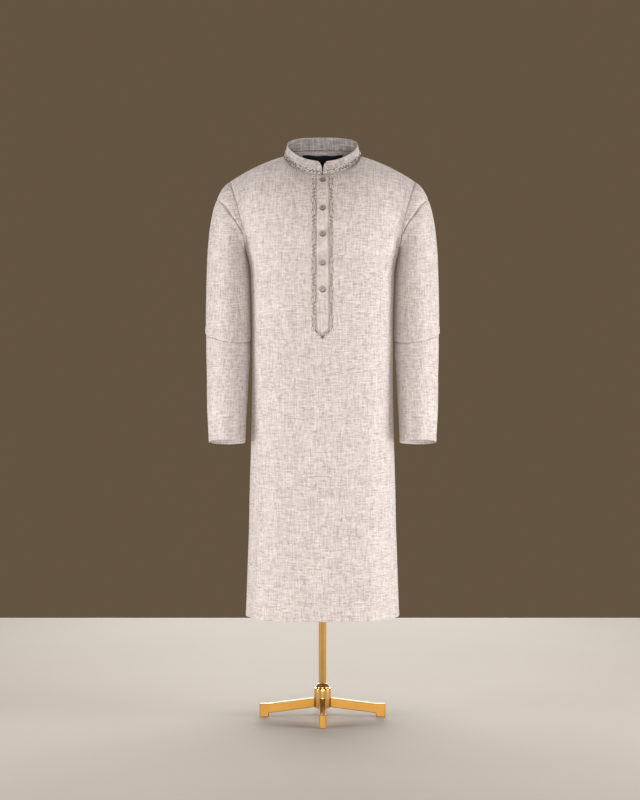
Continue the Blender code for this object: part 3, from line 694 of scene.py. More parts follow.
placket = {
    "halfWidth": 0.0122,
    "bottom": 0.890,
    "point": 0.012,
    "pointCurve": 1.5,
    "edge": 0.0011,
    "stitch": 0.0016,  # from its edge
    "stitchDent": (0.0005, 0.0002),  # width and depth
    "top": 0.0012,  # from the collar seam
    "rows": 0.0042,
    "lift": (0.55, 0.45),  # its middle's and its edge roll's share of a wall
}
label = {
    "halfWidth": 0.0485,
    "fromSeam": 0.0105,
    "drop": 0.052,
    "thickness": 0.0010,
    "hang": 0.0009,
    "wave": (0.0007, 150, 0.6),  # its upper edge: height, radians a metre and start
    "bow": (0.0006, 60),
    "grid": (25, 61),
}


def vAt(sheet, height):  # v on the middle line, at a height over the floor
    line = sheet["grid"][:, sheet["middle"]]
    return float(np.interp(height, line[:, 2], sheet["v"][:, sheet["middle"]]))


def placketSheet(front):
    low = vAt(front, placket["bottom"])
    high = float(front["v"][-1, front["middle"]]) - placket["top"]
    rows = low + spaced(high - low, placket["rows"], (0.0,), placket["point"], placket["edge"])
    rise = np.clip((rows - low) / placket["point"], 0, 1)
    half = placket["halfWidth"] * np.maximum(1 - (1 - rise) ** placket["pointCurve"], 0.04)
    edge = placket["edge"] / placket["halfWidth"]
    turns = np.concatenate(([0, edge * 0.4, edge], np.linspace(edge * 1.8, 1, 9)))
    turns = np.concatenate((turns - 1, (1 - turns)[-2::-1]))
    dentWidth, dent = placket["stitchDent"]
    flat = []
    for v, width in zip(rows, half):
        inward = (1 - abs(turns)) * width
        fold = np.sqrt(np.clip(1 - (1 - np.clip(inward / placket["edge"], 0, 1)) ** 2, 0, 1))
        lift = seam["gap"] + seam["cloth"] * (placket["lift"][0] + placket["lift"][1] * fold)
        lift = lift - dent * np.exp(-(((inward - placket["stitch"]) / dentWidth) ** 2))
        flat.append(np.stack((turns * width, np.full_like(turns, v), lift), axis=1))
    flat = np.array(flat)
    grid = layOn(front, flat.reshape(-1, 3)).reshape(flat.shape)
    return sheetOf(grid, len(turns) // 2, False, level=True, vStart=low)


def labelSheet(back):
    top = float(back["v"][-1, back["middle"]]) - label["fromSeam"]
    rows, places = label["grid"]
    columns = np.linspace(-label["halfWidth"], label["halfWidth"], places)
    shares = np.linspace(0, 1, rows)
    waveHeight, waveTurns, waveStart = label["wave"]
    wave = waveHeight * np.sin(columns * waveTurns + waveStart)
    u = np.broadcast_to(columns, (rows, places))
    v = top - label["drop"] * (1 - shares[:, None]) + wave * shares[:, None]
    bow = label["bow"][0] * np.sin(shares[:, None] * math.pi) * np.cos(columns * label["bow"][1])
    flat = np.stack((u, v, -(seam["cloth"] + label["hang"] + bow)), axis=2)
    grid = layOn(back, flat.reshape(-1, 3)).reshape(flat.shape)
    return sheetOf(grid, places // 2, True)


def labelMaterial():
    # Polyester damask, woven: a tight satin face, near black green, with a faint rib across it.
    material, tree, shader = newMaterial("damask_woven_label", {"Roughness": 0.62, "Specular IOR Level": 0.4})
    place = addNode(tree, "ShaderNodeUVMap", {"uv_map": "cut"})
    rib = addNode(tree, "ShaderNodeTexWave", {"bands_direction": "Y", "Scale": 300, "Distortion": 1.5},
                  {"Vector": place})
    colour = addNode(tree, "ShaderNodeMix", {
        "data_type": "RGBA", 6: toLinear("#0a1415"), 7: toLinear("#15262a")}, {0: rib})
    finishShader(tree, shader, colour.outputs[2], rib, 0.3, 0.0002)
    return material


# Stitches are short threads in (along, across, height), and are laid on a sheet later.

stitching = {
    "sides": 8,
    "sunk": 0.35,  # share of a thread's rise that lies in the cloth
    "hem": {"pitch": 0.0034, "length": 0.0024, "halfWidth": 0.0003, "rise": 0.0003},  # machine stitches
    "ends": (0.5, 1, 1, 0.5),  # a straight stitch's width along it
    "panelMargin": 0.006,  # from a panel's side edges to the ends of its hem stitches
    "cuffMargin": 0.002,
    "slitPast": 0.01,  # how far over a slit's top its stitches go
    "slitPlaces": 40,
    "stripMargin": 0.002,
}


def tubeFaces(rings, sides, closed=False):  # quads between rings of points
    faces = []
    for ring in range(rings if closed else rings - 1):
        here, after = ring * sides, (ring + 1) % rings * sides
        for side in range(sides):
            beyond = (side + 1) % sides
            faces.append((here + side, here + beyond, after + beyond, after + side))
    return faces


def threadShape(path, halfWidths, rise, closed=False, ridges=0.0):
    # One thread or padded satin shape: an oval section carried along a flat path, ridged by its stitches.
    path = np.array(path, float)
    count = len(path)
    ahead = np.gradient(path, axis=0)
    if closed:
        ahead = np.roll(path, -1, axis=0) - np.roll(path, 1, axis=0)
    ahead /= np.maximum(np.linalg.norm(ahead, axis=1, keepdims=True), 1e-12)
    beside = np.stack((-ahead[:, 1], ahead[:, 0]), axis=1)
    around = np.linspace(0, 2 * math.pi, stitching["sides"], endpoint=False)
    widths = np.broadcast_to(halfWidths, count)
    ridge = 1 + ridges * np.where(np.arange(count) % 2, 1, -1)
    fullness = widths / max(widths.max(), 1e-9)
    reach = widths * (0.5 + 0.5 * ridge)
    offset = np.cos(around)[None, :, None] * reach[:, None, None] * beside[:, None, :]
    lift = np.sin(around)[None, :] * (rise * ridge * fullness**0.5)[:, None]
    lift = np.where(lift < 0, lift * stitching["sunk"], lift)
    points = np.concatenate((path[:, None, :] + offset, lift[..., None]), axis=2).reshape(-1, 3)
    sides = stitching["sides"]
    faces = tubeFaces(count, sides, closed)
    if not closed:
        faces.append(tuple(range(sides))[::-1])
        faces.append(tuple((count - 1) * sides + side for side in range(sides)))
    return points, faces


def ring(outer, inner):  # a satin-stitched eyelet
    turns = np.linspace(0, 2 * math.pi, embroidery["ringSteps"], endpoint=False)
    radius = (outer + inner) / 2
    path = np.stack((radius * np.cos(turns), radius * np.sin(turns)), axis=1)
    return threadShape(path, (outer - inner) / 2, embroidery["ringRise"], True, embroidery["ridges"])


def leaf(length, width, bend=0.0):  # a satin-stitched leaf or comma, pointing along
    shares = np.linspace(0, 1, embroidery["leafSteps"])
    grown = embroidery["leafGrowth"]
    path = np.stack(((shares - 0.5) * length * grown, bend * grown * np.sin(shares * math.pi)), axis=1)
    widths = width * grown / 2 * np.maximum(np.sin(shares * math.pi), 0.12) ** 0.7
    return threadShape(path, widths, embroidery["leafRise"], False, embroidery["ridges"])


def placed(shape, at, angle=0.0, over=0.0002):
    points, faces = shape
    cosine, sine = math.cos(angle), math.sin(angle)
    x = points[:, 0] * cosine - points[:, 1] * sine + at[0]
    y = points[:, 0] * sine + points[:, 1] * cosine + at[1]
    return np.stack((x, y, points[:, 2] + over), axis=1), faces


def joined(shapes):
    points, faces, start = [], [], 0
    for shapePoints, shapeFaces in shapes:
        points.append(shapePoints)
        faces += [tuple(corner + start for corner in face) for face in shapeFaces]
        start += len(shapePoints)
    return np.concatenate(points), faces


embroidery = {
    "repeat": 0.0646,
    "ringStep": 0.0140,
    "ringOuter": 0.0041,
    "ringInner": 0.0018,
    "ringRise": 0.0008,
    "ringSteps": 30,
    "outline": (0.0009, -0.0006),  # past a ring's outer edge, for the brown ring round it, which is painted shade
    "leafRise": 0.0006,
    "leafSteps": 9,
    "leafGrowth": 1.22,
    "ridges": 0.10,  # how much each satin stitch stands out
    "vineStep": 0.0043,
    "centre": 0.0196,  # a placket trim's middle, from the centre front
    "underCollar": 0.004,  # where a placket trim ends
    "overPoint": (0.0085, 0.0015),  # where one starts over the strip's foot, and how much higher on the right
    "collarCentre": 0.0070,  # the collar trim's middle, over its seam
    "collarStart": (0.0185, 0.023),  # its first vine and its first triple, from the ends of the collar
    "collarEnd": 0.0016,
    "satin": (0.00062, 0.00030),  # half width and rise of a ground stitch
    "groundPitch": 0.0017,
    "ground": (-0.0050, 0.0062),  # its outer edge, and the edge at the strip
    "scallop": 0.0010,
    "seamShadow": (0.112, 0.0008, 0.0007),  # a brown row of stitches inside the collar as painted shadow along its seam: half length, place over the seam, and how far it stands in
    "insideStitch": {"pitch": 0.0022, "length": 0.0021, "halfWidth": 0.0007, "rise": 0.0003},
}
floss = {  # face colour, and the painted shade between its strands
    "cream": ("#fffaf3", "#efe6db"),
    "taupe": ("#8d7c6e", "#6d5d51"),
    "brown": ("#43362d", "#2a211b"),
    "ground": ("#d4c8bd", "#b3a497"),
}


def addLeaves(kept, rows, at=(0, 0), turn=1):
    # Each row: floss, length, width, along, across, angle, height over the cloth and bend. turn is 1 or -1.
    for name, length, width, along, across, angle, over, bend in rows:
        spot = (at[0] + along, at[1] + across)
        kept[name].append(placed(leaf(length, width, bend), spot, angle * turn, over))


def noFloss():
    return {name: [] for name in floss}


def addEyelet(kept, at, size=1.0):  # a cream ring round a brown centre, inside a brown ring of painted shade
    outer = embroidery["ringOuter"] * size
    past, back = embroidery["outline"]
    # painted shade round the eyelet, as a brown ring
    kept["brown"].append(placed(ring(outer + past, outer + back), at))
    kept["cream"].append(placed(ring(outer, embroidery["ringInner"]), at, over=0.0007))
    kept["brown"].append(placed(leaf(0.0036, 0.0034), at, over=0.0001))


def groundRow(start, end, low, high, phase):
    # Satin stitches across the trim, close together, with a scalloped edge on its outer side.
    shapes = []
    for place in np.arange(start, end, embroidery["groundPitch"]):
        wave = embroidery["scallop"] * math.cos((place - phase) * 2 * math.pi / embroidery["ringStep"])
        reach = high - low + wave
        path = [(place + 0.0003 * (step % 2), low - wave + reach * step / 3) for step in range(4)]
        shapes.append(threadShape(path, *embroidery["satin"]))
    return shapes


def ringTriple(along):
    # Three eyelets, the middle one pushed to the strip, with leaves and small knots between them.
    kept = noFloss()
    for index, shift in ((-1, -0.0006), (0, 0.0018), (1, -0.0006)):
        addEyelet(kept, (along + index * embroidery["ringStep"], shift), 0.9 if index == 0 else 1)
    for end in (-1, 1):
        addLeaves(kept, (
            ("brown", 0.0036, 0.0022, end * 0.0070, -0.0030, -0.6, 0.0002, 0),
            ("cream", 0.0017, 0.0017, end * 0.0062, -0.0056, 0, 0.0002, 0),
            ("cream", 0.0020, 0.0016, end * 0.0070, 0.0012, 0, 0.0004, 0),
            ("taupe", 0.0034, 0.0018, end * 0.0074, 0.0046, 0.5, 0.0002, 0),
        ), (along, 0), end)
    return kept


def leafGroup(along):
    # A vine between two triples: brown commas to both sides in turn, with cream knots across from them.
    kept = noFloss()
    for index in range(-3, 4):
        out = 1 if index % 2 else -1
        addLeaves(kept, (
            ("brown", 0.0034, 0.0018, 0, out * 0.0022 - 0.0006, 0.75, 0.0002, 0.0004),
            ("taupe", 0.0026, 0.0013, 0.0014, -out * 0.0006, -0.7, 0.0002, 0),
            ("cream", 0.0022, 0.0018, 0, -out * 0.0034 - 0.0006, 0.6, 0.0005, 0),
        ), (along + index * embroidery["vineStep"], 0), out)
    return kept


def runningRow(path, pitch, length, halfWidth, rise):
    # Straight stitches along a path of (along, across) points.
    path = np.array(path, float)
    lengths = np.concatenate(([0], np.cumsum(np.linalg.norm(np.diff(path, axis=0), axis=1))))
    shapes = []
    for start in np.arange(pitch / 2, lengths[-1] - length, pitch):
        places = np.linspace(start, start + length, len(stitching["ends"]))
        line = np.stack([np.interp(places, lengths, path[:, axis]) for axis in range(2)], axis=1)
        shapes.append(threadShape(line, np.array(stitching["ends"]) * halfWidth, rise))
    return shapes


def placketTrim(front, side):
    # Down one side of the strip to the corner above its point.
    low = vAt(front, placket["bottom"])
    high = float(front["v"][-1, front["middle"]]) - embroidery["underCollar"]
    kept = noFloss()
    above, later = embroidery["overPoint"]
    corner = low + above + (later if side < 0 else 0.0)
    centre = phase = corner + embroidery["ringStep"]
    while centre - embroidery["ringStep"] < high:
        for group, shift in ((ringTriple, 0.0), (leafGroup, embroidery["repeat"] / 2)):
            for name, made in group(centre + shift).items():
                kept[name] += [shape for shape in made if shape[0][:, 0].max() < high]
        centre += embroidery["repeat"]
    kept["ground"] = groundRow(corner - 0.001, high, *embroidery["ground"], phase)
    for name, shapes in kept.items():
        moved = []
        for points, faces in shapes:
            across = (embroidery["centre"] - points[:, 1]) * side  # it is drawn with its strip side positive
            turned = [face[::-1] for face in faces] if side < 0 else faces
            moved.append((np.stack((across, points[:, 0], points[:, 2]), axis=1), turned))
        kept[name] = moved
    return kept


def pointTrim(front):
    # Below the strip's point: slanting leaves, two eyelets and a small sprig.
    low = vAt(front, placket["bottom"])
    kept = noFloss()
    slant = math.radians(48)
    for side in (-1, 1):
        addEyelet(kept, (side * 0.0086, low - 0.0016), 0.85)
        addLeaves(kept, (
            ("brown", 0.0060, 0.0021, side * 0.01698, 0.00665, slant, 0.0002, 0),
            ("taupe", 0.0052, 0.0021, side * 0.01500, 0.00440, slant, 0.0002, 0),
            ("brown", 0.0056, 0.0021, side * 0.01302, 0.00215, slant, 0.0002, 0),
        ), (0, low), side)
        for share in np.linspace(0, 1, 12):
            across, up = 0.0150 - 0.0140 * share, low + 0.0075 - 0.0135 * share
            path = [(side * (across + 0.0030 * t), up - 0.0034 * t) for t in (-1, -0.3, 0.4, 1)]
            kept["ground"].append(threadShape(path, *embroidery["satin"]))
        addLeaves(kept, (
            ("brown", 0.0034, 0.0022, side * 0.0024, -0.0104, -0.9, 0.0002, 0),
            ("brown", 0.0042, 0.0020, side * 0.0028, -0.0062, 0.7, 0.0002, 0),
        ), (0, low), side)
    addLeaves(kept, (
        ("brown", 0.0042, 0.0024, 0, -0.0082, math.pi / 2, 0.0002, 0),
        ("taupe", 0.0036, 0.0018, 0, -0.0140, math.pi / 2, 0.0002, 0),
    ), (0, low))
    return kept


def collarTrim(sheet):
    # Round the collar over its seam, from both ends. u is 0 at the centre back.
    halfLength = float(sheet["u"].max())
    kept = noFloss()
    firstVine, firstTriple = embroidery["collarStart"]
    for side in (-1, 1):
        group, place = (ringTriple, firstTriple) if side > 0 else (leafGroup, firstVine)
        while place < halfLength + 0.01:
            made = group(place)
            made["brown"] += made.pop("taupe")  # all its leaves are brown, on the bare cloth
            for name, shapes in made.items():
                for points, faces in shapes:
                    if points[:, 0].max() > halfLength or points[:, 0].min() < embroidery["collarEnd"]:
                        continue
                    u, v = side * (halfLength - points[:, 0]), embroidery["collarCentre"] - points[:, 1]
                    turned = faces if side < 0 else [face[::-1] for face in faces]
                    kept[name].append((np.stack((u, v, points[:, 2]), axis=1), turned))
            group = leafGroup if group is ringTriple else ringTriple
            place += embroidery["repeat"] / 2
    return kept


def layThreads(name, parts, material):
    # parts are (sheet, shapes, lift); all become one mesh
    laid = []
    for sheet, shapes, lift in parts:
        flat, faces = joined(shapes)
        turned = [face[::-1] for face in faces] if sheet["flip"] else faces
        laid.append((layOn(sheet, flat + (0, 0, lift)), turned))
    piece = addMesh(name, *joined(laid), material)
    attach(piece, "root")


linenMaterial = slubLinen("slub_linen_cotton_weave", linen["base"])
collarMaterial = slubLinen("collar_linen_weave", linen["collarTone"])
# the same weave drawn darker, as painted shade on the collar's inner side
collarInsideShade = slubLinen("linen_inside_painted_shade_weave", linen["inside"])
front = sheetOf(*panelGrid(-1), False, frontCreases, panelRelief, level=True)
back = sheetOf(*panelGrid(1), True, backCreases, panelRelief, level=True)
sleeveLeft = sleeveSheet(1, leftSleeveCreases)
sleeveRight = sleeveSheet(-1, rightSleeveCreases)
collarCloth = collarSheet()
strip = placketSheet(front)
labelCloth = labelSheet(back)
print("cloth surfaces worked out")

for name, node, sheet, restsOn in (  # what each hangs from comes last
    ("front_cloth", "front_panel", front, "shoulder_yoke"),
    ("back_cloth", "back_panel", back, "shoulder_yoke"),
    ("sleeve_cloth_left", "sleeve_left", sleeveLeft, "front_cloth"),
    ("sleeve_cloth_right", "sleeve_right", sleeveRight, "front_cloth"),
    ("collar_cloth", "collar_band", collarCloth, "back_cloth"),
    ("placket_cloth", "placket_strip", strip, "front_cloth"),
    ("label_cloth", "neck_label", labelCloth, "back_cloth"),
):
    thickness, material, inside, slot = seam["cloth"], linenMaterial, None, "linen_cotton"
    if name == "collar_cloth":
        thickness, material, inside = collar["thickness"], collarMaterial, collarInsideShade
    elif name == "label_cloth":
        thickness, material, slot = label["thickness"], labelMaterial(), "label_cloth"
    declare(addCloth(name, sheet, thickness, material, inside), node)
print("cloth built")


def addEmbroidery():
    trims = [placketTrim(front, side) for side in (-1, 1)] + [pointTrim(front)]
    roundCollar = collarTrim(collarCloth)
    reach, up, inwards = embroidery["seamShadow"]
    seamShadow = runningRow([(-reach, up), (reach, up)], **embroidery["insideStitch"])
    for name, tones in floss.items():
        parts = [(front, [shape for trim in trims for shape in trim[name]], 0.0)]
        if roundCollar[name]:
            parts.append((collarCloth, roundCollar[name], 0.0))
        # the brown floss also carries the painted shade rings round the eyelets, and here the painted shadow
        # along the collar's inside seam
        if name == "brown":
            parts.append((collarCloth, seamShadow, -collar["thickness"] - inwards))
        layThreads(f"embroidery_{name}", parts, threadMaterial(f"rayon_floss_{name}", *tones))


addEmbroidery()
print("embroidery laid")


button = {
    "radius": 0.0069,
    "height": 0.0046,
    "steps": 48,
    "outline": (  # across and up, as shares of its radius and height, from the middle of its face to its back
        (0, 0.72), (0.25, 0.71), (0.50, 0.69), (0.66, 0.72), (0.76, 0.84), (0.84, 0.96), (0.91, 1.0),
        (0.97, 0.94), (1.0, 0.80), (1.0, 0.62), (0.96, 0.46), (0.88, 0.38), (0.60, 0.34), (0.38, 0.32),
        (0.36, 0), (0, 0),
    ),
    "shadeCentre": (0.0006, -0.0012, 0),  # moves the centre of the painted shading off the middle, so that painted shadow darkens its lower rim
    # the horn's beige with painted light: painted shade in its dished middle, on its rim and its side, and a
    # paler ring between as painted highlight
    "tones": (
        (0.0, "#40372e"), (0.22, "#5a4f43"), (0.36, "#a59a88"), (0.62, "#c0b5a2"), (0.80, "#8a7f70"),
        (1.0, "#352d26"),
    ),
    "cloud": "#6b6052",
}
weldDistance = 0.00002


def weldPoles(piece):  # joins the points that meet at the middle of an end
    weld = piece.modifiers.new("weld", "WELD")
    weld.merge_threshold = weldDistance


def addTurned(name, profile, steps, material):  # a profile of (radius, height), turned about Z
    profile = np.array(profile)
    turns = np.linspace(0, 2 * math.pi, steps, endpoint=False)
    points = np.stack((profile[:, :1] * np.cos(turns), profile[:, :1] * np.sin(turns),
                       np.broadcast_to(profile[:, 1:], (len(profile), steps))), axis=2).reshape(-1, 3)
    faces = [(a, d, c, b) for a, b, c, d in tubeFaces(len(profile), steps)]  # to face outwards
    piece = addMesh(name, points, faces, material)
    weldPoles(piece)
    return piece


def buttonMaterial():
    # Polished horn: cloudy beige to grey-brown, with a soft gloss. Rings of painted shade and painted
    # highlight run round its middle, and a painted shadow darkens its lower rim.
    material, tree, shader = newMaterial("polished_horn_painted_shade", {
        "Roughness": 0.38, "IOR": 1.54, "Coat Weight": 0.2, "Coat Roughness": 0.25})
    place = addNode(tree, "ShaderNodeTexCoord").outputs["Object"]
    clouds = addNode(tree, "ShaderNodeTexNoise", {"Scale": 220, "Detail": 3, "Distortion": 1.5})
    # the painted shading is measured from a centre moved off the middle
    shadeCentre = addNode(tree, "ShaderNodeVectorMath", {1: button["shadeCentre"]})
    for node, socket in ((clouds, "Vector"), (shadeCentre, 0)):
        tree.links.new(place, node.inputs[socket])
    flat = addNode(tree, "ShaderNodeVectorMath", {"operation": "MULTIPLY", 1: (1, 1, 0)}, {0: shadeCentre})
    radius = addNode(tree, "ShaderNodeVectorMath", {"operation": "LENGTH"}, {0: flat})
    share = addNode(tree, "ShaderNodeMath", {"operation": "DIVIDE", 1: button["radius"]},
                    {0: radius.outputs["Value"]})
    ramp = addNode(tree, "ShaderNodeValToRGB", {}, {0: share})
    while len(ramp.color_ramp.elements) < len(button["tones"]):
        ramp.color_ramp.elements.new(1)
    for stop, (position, tone) in zip(ramp.color_ramp.elements, button["tones"]):
        stop.position = position
        stop.color = toLinear(tone)
    cloudShare = addNode(tree, "ShaderNodeMapRange", {
        "From Min": 0.35, "From Max": 0.7, "To Min": 0, "To Max": 0.45}, {"Value": clouds})
    mixed = addNode(tree, "ShaderNodeMix", {"data_type": "RGBA", 7: toLinear(button["cloud"])},
                    {0: cloudShare, 6: ramp.outputs[0]})
    finishShader(tree, shader, mixed.outputs[2], clouds, 0.15, 0.0002)
    return material


def addButtons():
    material = buttonMaterial()
    profile = [(button["radius"] * across, button["height"] * up) for across, up in button["outline"]]
    for number in range(1, 6):
        node = f"button_{number}"
        low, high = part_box(node)
        v = vAt(front, (low.z + high.z) / 2)
        foot, above = layOn(strip, np.array([(0, v, seam["gap"]), (0, v, 1)]))
        piece = addTurned(f"button_turned_{number}", profile, button["steps"], material)
        piece.location = Vector(foot)
        piece.rotation_mode = "QUATERNION"
        piece.rotation_quaternion = Vector(above - foot).normalized().to_track_quat("Z", "Y")
        standFor(piece, node)


addButtons()
print("buttons sewn on")


def addMachineStitches():  # on the hems, slits, cuffs and strip
    hem = stitching["hem"]
    fold = trunk["hemFold"]
    parts = []
    for sheet in (front, back):
        u, v = sheet["u"], sheet["v"]
        row = int(np.argmin(abs(v[:, sheet["middle"]] - fold)))
        edge = float(u[row].max()) - stitching["panelMargin"]
        shapes = runningRow([(-edge, fold), (edge, fold)], **hem)
        slitEnd = trunk["slitTop"] - trunk["hem"] + stitching["slitPast"]
        heights = np.linspace(fold, slitEnd, stitching["slitPlaces"])
        inward = np.array([np.interp(h, v[:, 0], u.max(axis=1)) for h in heights]) - fold
        for side in (-1, 1):
            shapes += runningRow(np.stack((side * inward, heights), axis=1), **hem)
        parts.append((sheet, shapes, 0.0))
    for sheet in (sleeveLeft, sleeveRight):
        edge, up = float(sheet["u"][0].max()) - stitching["cuffMargin"], sleeve["cuffFold"]
        parts.append((sheet, runningRow([(-edge, up), (edge, up)], **hem), 0.0))
    low = vAt(front, placket["bottom"]) + placket["point"]
    high = float(strip["v"].max()) - stitching["stripMargin"]
    across = placket["halfWidth"] - placket["stitch"]
    shapes = [shape for side in (-across, across) for shape in runningRow([(side, low), (side, high)], **hem)]
    parts.append((strip, shapes, 0.0))
    layThreads("machine_stitches", parts, threadMaterial("spun_polyester_thread", "#e6dbd1", "#c9bcb1"))


addMachineStitches()
print("stitches sewn")


stand = {
    "poleRadius": 0.009,
    "poleEdge": 0.0006,
    "hubRadius": 0.0195,
    "hubSpan": (0.021, 0.067),
    "hubEdge": 0.002,
    "cone": (  # radius and height over the floor: a lip round the pole, a slope and a low rim on the hub
        (0, 0.0770), (0.00972, 0.0770), (0.0102, 0.0764), (0.0147, 0.0706), (0.0155, 0.0696),
        (0.0155, 0.0680), (0.0145, 0.0670), (0, 0.0670),
    ),
    "legReach": 0.146,
    "legWidth": 0.0155,
    "legEdge": 0.0015,
    "legSunk": 0.0012,  # how far a leg's root reaches into the hub's round side
    "footLength": 0.0215,
    "legAtHub": (0.023, 0.044),
    "legAtFoot": (0.009, 0.0305),
    "yokeRadius": 0.009,
    "teeRadius": 0.014,
    "teeEdge": 0.003,
    "steps": 96,
    "turned": ("turned_lacquered_brass", "#f8cd82", "#dca354", 0.09, (60, 60, 2500)),
    "satin": ("satin_lacquered_brass", "#b08340", "#9b6d2e", 0.42, (400, 400, 400)),
}


def brassMaterial(name, colour, worn, roughness, brushed):
    # Lacquered brass: a warm yellow metal, bright and finely lined round the turned parts, satin on the bars.
    material, tree, shader = newMaterial(name, {"Metallic": 1.0, "Roughness": roughness})
    place = addNode(tree, "ShaderNodeTexCoord")
    stretched = addNode(tree, "ShaderNodeMapping", {"Scale": brushed}, {0: place.outputs["Object"]})
    lines = addNode(tree, "ShaderNodeTexNoise", {"Scale": 1, "Detail": 3}, {"Vector": stretched})
    cloud = addNode(tree, "ShaderNodeTexNoise", {"Scale": 40, "Detail": 2},
                    {"Vector": place.outputs["Object"]})
    tone = addNode(tree, "ShaderNodeMapRange", {
        "From Min": 0.3, "From Max": 0.7, "To Min": 0, "To Max": 0.35}, {"Value": cloud})
    mixed = addNode(tree, "ShaderNodeMix", {
        "data_type": "RGBA", 6: toLinear(colour), 7: toLinear(worn)}, {0: tone})
    polish = addNode(tree, "ShaderNodeMapRange", {
        "From Min": 0.3, "From Max": 0.7, "To Min": roughness * 0.8, "To Max": roughness * 1.25,
    }, {"Value": lines})
    tree.links.new(polish.outputs[0], shader.inputs["Roughness"])
    finishShader(tree, shader, mixed.outputs[2], lines, 0.08, 0.0001)
    return material


def roundedProfile(radius, low, high, edge, segments=5):
    turns = [math.pi / 2 * step / segments for step in range(segments + 1)]
    inner = radius - edge
    upper = [(inner + edge * math.sin(turn), high - edge + edge * math.cos(turn)) for turn in turns]
    lower = [(inner + edge * math.cos(turn), low + edge - edge * math.sin(turn)) for turn in turns]
    return [(0, high)] + upper + lower + [(0, low)]


def addStand():
    turnedBrass = brassMaterial(*stand["turned"])
    satinBrass = brassMaterial(*stand["satin"])
    poleLow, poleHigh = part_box("stand_pole")
    teeLow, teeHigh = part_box("yoke_socket")
    for node, profile in (
        ("stand_pole", roundedProfile(stand["poleRadius"], poleLow.z, poleHigh.z, stand["poleEdge"])),
        ("stand_hub", roundedProfile(stand["hubRadius"], *stand["hubSpan"], stand["hubEdge"])),
        ("pole_cone", stand["cone"]),
        ("yoke_socket", roundedProfile(stand["teeRadius"], teeLow.z, teeHigh.z, stand["teeEdge"])),
    ):
        piece = addTurned(f"{node}_turned", profile, stand["steps"], turnedBrass)
        piece.data.set_sharp_from_angle(angle=math.radians(50))
        standFor(piece, node)
    for quarter, side in enumerate(("left", "back", "right", "front")):
        addLeg(f"leg_{side}", quarter * math.pi / 2, satinBrass)
    addYoke(turnedBrass)


def addLeg(node, bearing, material):
    footStart = stand["legReach"] - stand["footLength"]
    start = stand["hubRadius"] - stand["legSunk"]
    hubLow, hubHigh = stand["legAtHub"]
    footLow, footHigh = stand["legAtFoot"]
    outline = ((start, hubLow), (footStart, footLow), (footStart, 0), (stand["legReach"], 0),
               (stand["legReach"], footHigh), (footStart, footHigh), (start, hubHigh))
    half = stand["legWidth"] / 2
    points = [(r, side * half, z) for side in (-1, 1) for r, z in outline]
    count = len(outline)
    faces = [tuple(range(count)), tuple(range(2 * count - 1, count - 1, -1))]
    faces += [(i, i + count, (i + 1) % count + count, (i + 1) % count) for i in range(count)]
    cosine, sine = math.cos(bearing), math.sin(bearing)
    turned = np.array([(x * cosine - y * sine, x * sine + y * cosine, z) for x, y, z in points])
    piece = addMesh(f"{node}_bar", turned, faces, material)
    bevel = piece.modifiers.new("edges", "BEVEL")
    bevel.width = stand["legEdge"]
    bevel.segments = 4
    bevel.limit_method = "ANGLE"
    bevel.harden_normals = True
    standFor(piece, node)


yoke = {
    "halfSpan": 0.172,
    "dip": 0.052,
    "clearance": 0.005,
    "level": 0.03,  # half of its straight middle
    "shoulder": 0.105,  # where the dip starts
    "places": 121,
    "sides": 32,
    "capSteps": 8,
    "capBulge": 0.4,  # how far its ends bulge, as a share of its radius
}


def addYoke(material):
    # A bent bar that follows the shoulder seams from below and dips under the neck, with rounded ends.
    bar = stand["yokeRadius"]
    xs = np.linspace(-yoke["halfSpan"], yoke["halfSpan"], yoke["places"])
    neck, tip = trunk["neckHalfWidth"], trunk["shoulderTip"][0]
    shares = np.maximum(abs(xs) - neck, 0) / (tip - neck)
    dip = yoke["dip"] * (1 - ease(yoke["level"], yoke["shoulder"], abs(xs)))
    zs = shoulderLine(shares)[:, 2] - seam["cloth"] - yoke["clearance"] - bar - dip
    turns = np.linspace(0, math.pi / 2, yoke["capSteps"])[:-1]
    cap = yoke["halfSpan"] + bar * yoke["capBulge"] * np.cos(turns)
    x = np.concatenate((-cap, xs, cap[::-1]))
    z = np.concatenate((np.full(len(cap), zs[0]), zs, np.full(len(cap), zs[-1])))
    capRadii = bar * np.sin(turns)
    radii = np.concatenate((capRadii, np.full(len(xs), bar), capRadii[::-1]))[:, None]
    ahead = np.gradient(np.stack((x, z), axis=1), axis=0)
    ahead /= np.linalg.norm(ahead, axis=1, keepdims=True)
    around = np.linspace(0, 2 * math.pi, yoke["sides"], endpoint=False)
    up, out = radii * np.cos(around), radii * np.sin(around)
    points = np.stack((x[:, None] - ahead[:, 1:] * up, out, z[:, None] + ahead[:, :1] * up), axis=2)
    piece = addMesh("shoulder_yoke_bar", points.reshape(-1, 3), tubeFaces(len(x), yoke["sides"]), material)
    weldPoles(piece)
    standFor(piece, "shoulder_yoke")


addStand()
print("stand built")


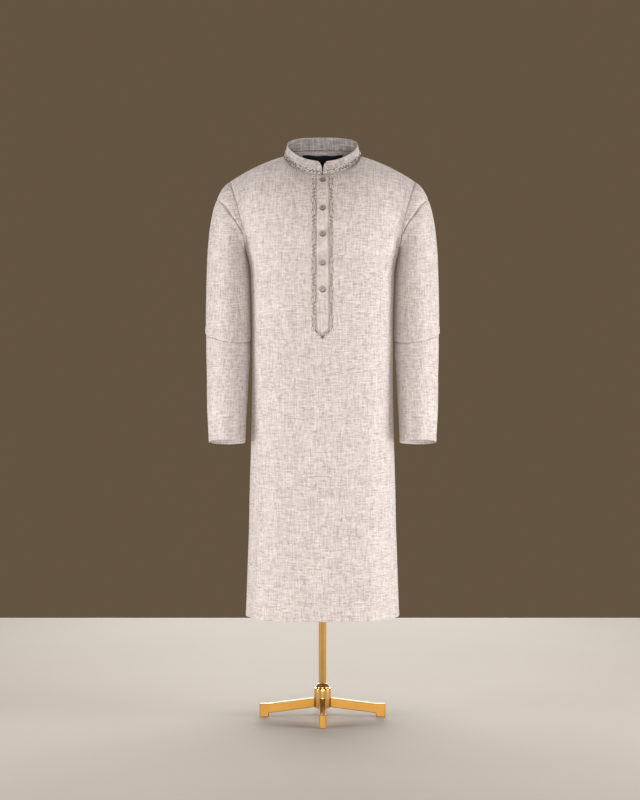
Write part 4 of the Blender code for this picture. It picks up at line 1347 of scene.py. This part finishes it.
studio = {
    "floor": ("#dfd8d0", "#d2c9bf"),
    "floorHalf": 1.64,
    "room": "#5f503e",
    "roomStrength": 1.1,
    "softboxes": {  # place, aim, width and height, watts
        "front": ((0.3, -5.4, 0.50), (0, 0, 0.70), (3.6, 1.0), 166),
        "left": ((-2.6, -0.9, 0.75), (0, 0, 0.75), (1.1, 1.5), 47),
        "right": ((2.6, -0.6, 0.75), (0, 0, 0.75), (1.1, 1.5), 53),
        "back": ((0, 5.2, 1.0), (0, 0, 0.7), (3.0, 1.6), 140),
        "top": ((0, 1.3, 2.6), (0, 0.3, 0), (2.4, 2.0), 26),
    },
}
camera = {
    "distance": 4.5,
    "height": 0.861,
    "side": -0.0058,
    "aimHeight": 0.736,
    "lens": 87.5,
    "sensor": 36.0,
}


def addFloor():
    # Floor paint, rolled on: matt, pale and a little cloudy.
    material, tree, shader = newMaterial("matt_painted_floor", {"Roughness": 0.8})
    place = addNode(tree, "ShaderNodeTexCoord")
    cloud = addNode(tree, "ShaderNodeTexNoise", {"Scale": 1.2, "Detail": 3},
                    {"Vector": place.outputs["Object"]})
    pale, dull = studio["floor"]
    tone = addNode(tree, "ShaderNodeMix", {
        "data_type": "RGBA", 6: toLinear(pale), 7: toLinear(dull)}, {0: cloud})
    tree.links.new(tone.outputs[2], shader.inputs["Base Color"])
    half = studio["floorHalf"]
    rim = np.array([(-half, -2 * half, 0), (half, -2 * half, 0), (half, half, 0), (-half, half, 0)])
    addMesh("studio_floor", rim, [(0, 1, 2, 3)], material)


def linked(name, data, at, aim):  # a lamp or camera at a place, turned to its aim
    made = bpy.data.objects.new(name, data)
    made.location = at
    made.rotation_euler = (Vector(aim) - Vector(at)).to_track_quat("-Z", "Y").to_euler()
    bpy.context.scene.collection.objects.link(made)
    return made


def addStudio():
    addFloor()
    for side, (at, aim, size, power) in studio["softboxes"].items():
        lamp = bpy.data.lights.new(f"softbox_{side}", "AREA")
        lamp.shape = "RECTANGLE"
        lamp.size, lamp.size_y = size
        lamp.energy = power
        linked(lamp.name, lamp, at, aim).visible_camera = False
    world = bpy.data.worlds.new("studio")
    world.use_nodes = True
    background = world.node_tree.nodes["Background"]
    background.inputs["Color"].default_value = toLinear(studio["room"])
    background.inputs["Strength"].default_value = studio["roomStrength"]
    bpy.context.scene.world = world
    bpy.context.scene.view_settings.view_transform = "Standard"


def addCamera():
    data = bpy.data.cameras.new("camera")
    data.sensor_fit = "VERTICAL"
    data.sensor_height = camera["sensor"]
    data.lens = camera["lens"]
    at = (camera["side"], -camera["distance"], camera["height"])
    bpy.context.scene.camera = linked("camera", data, at, (camera["side"], 0, camera["aimHeight"]))


addStudio()
addCamera()
print("studio ready")
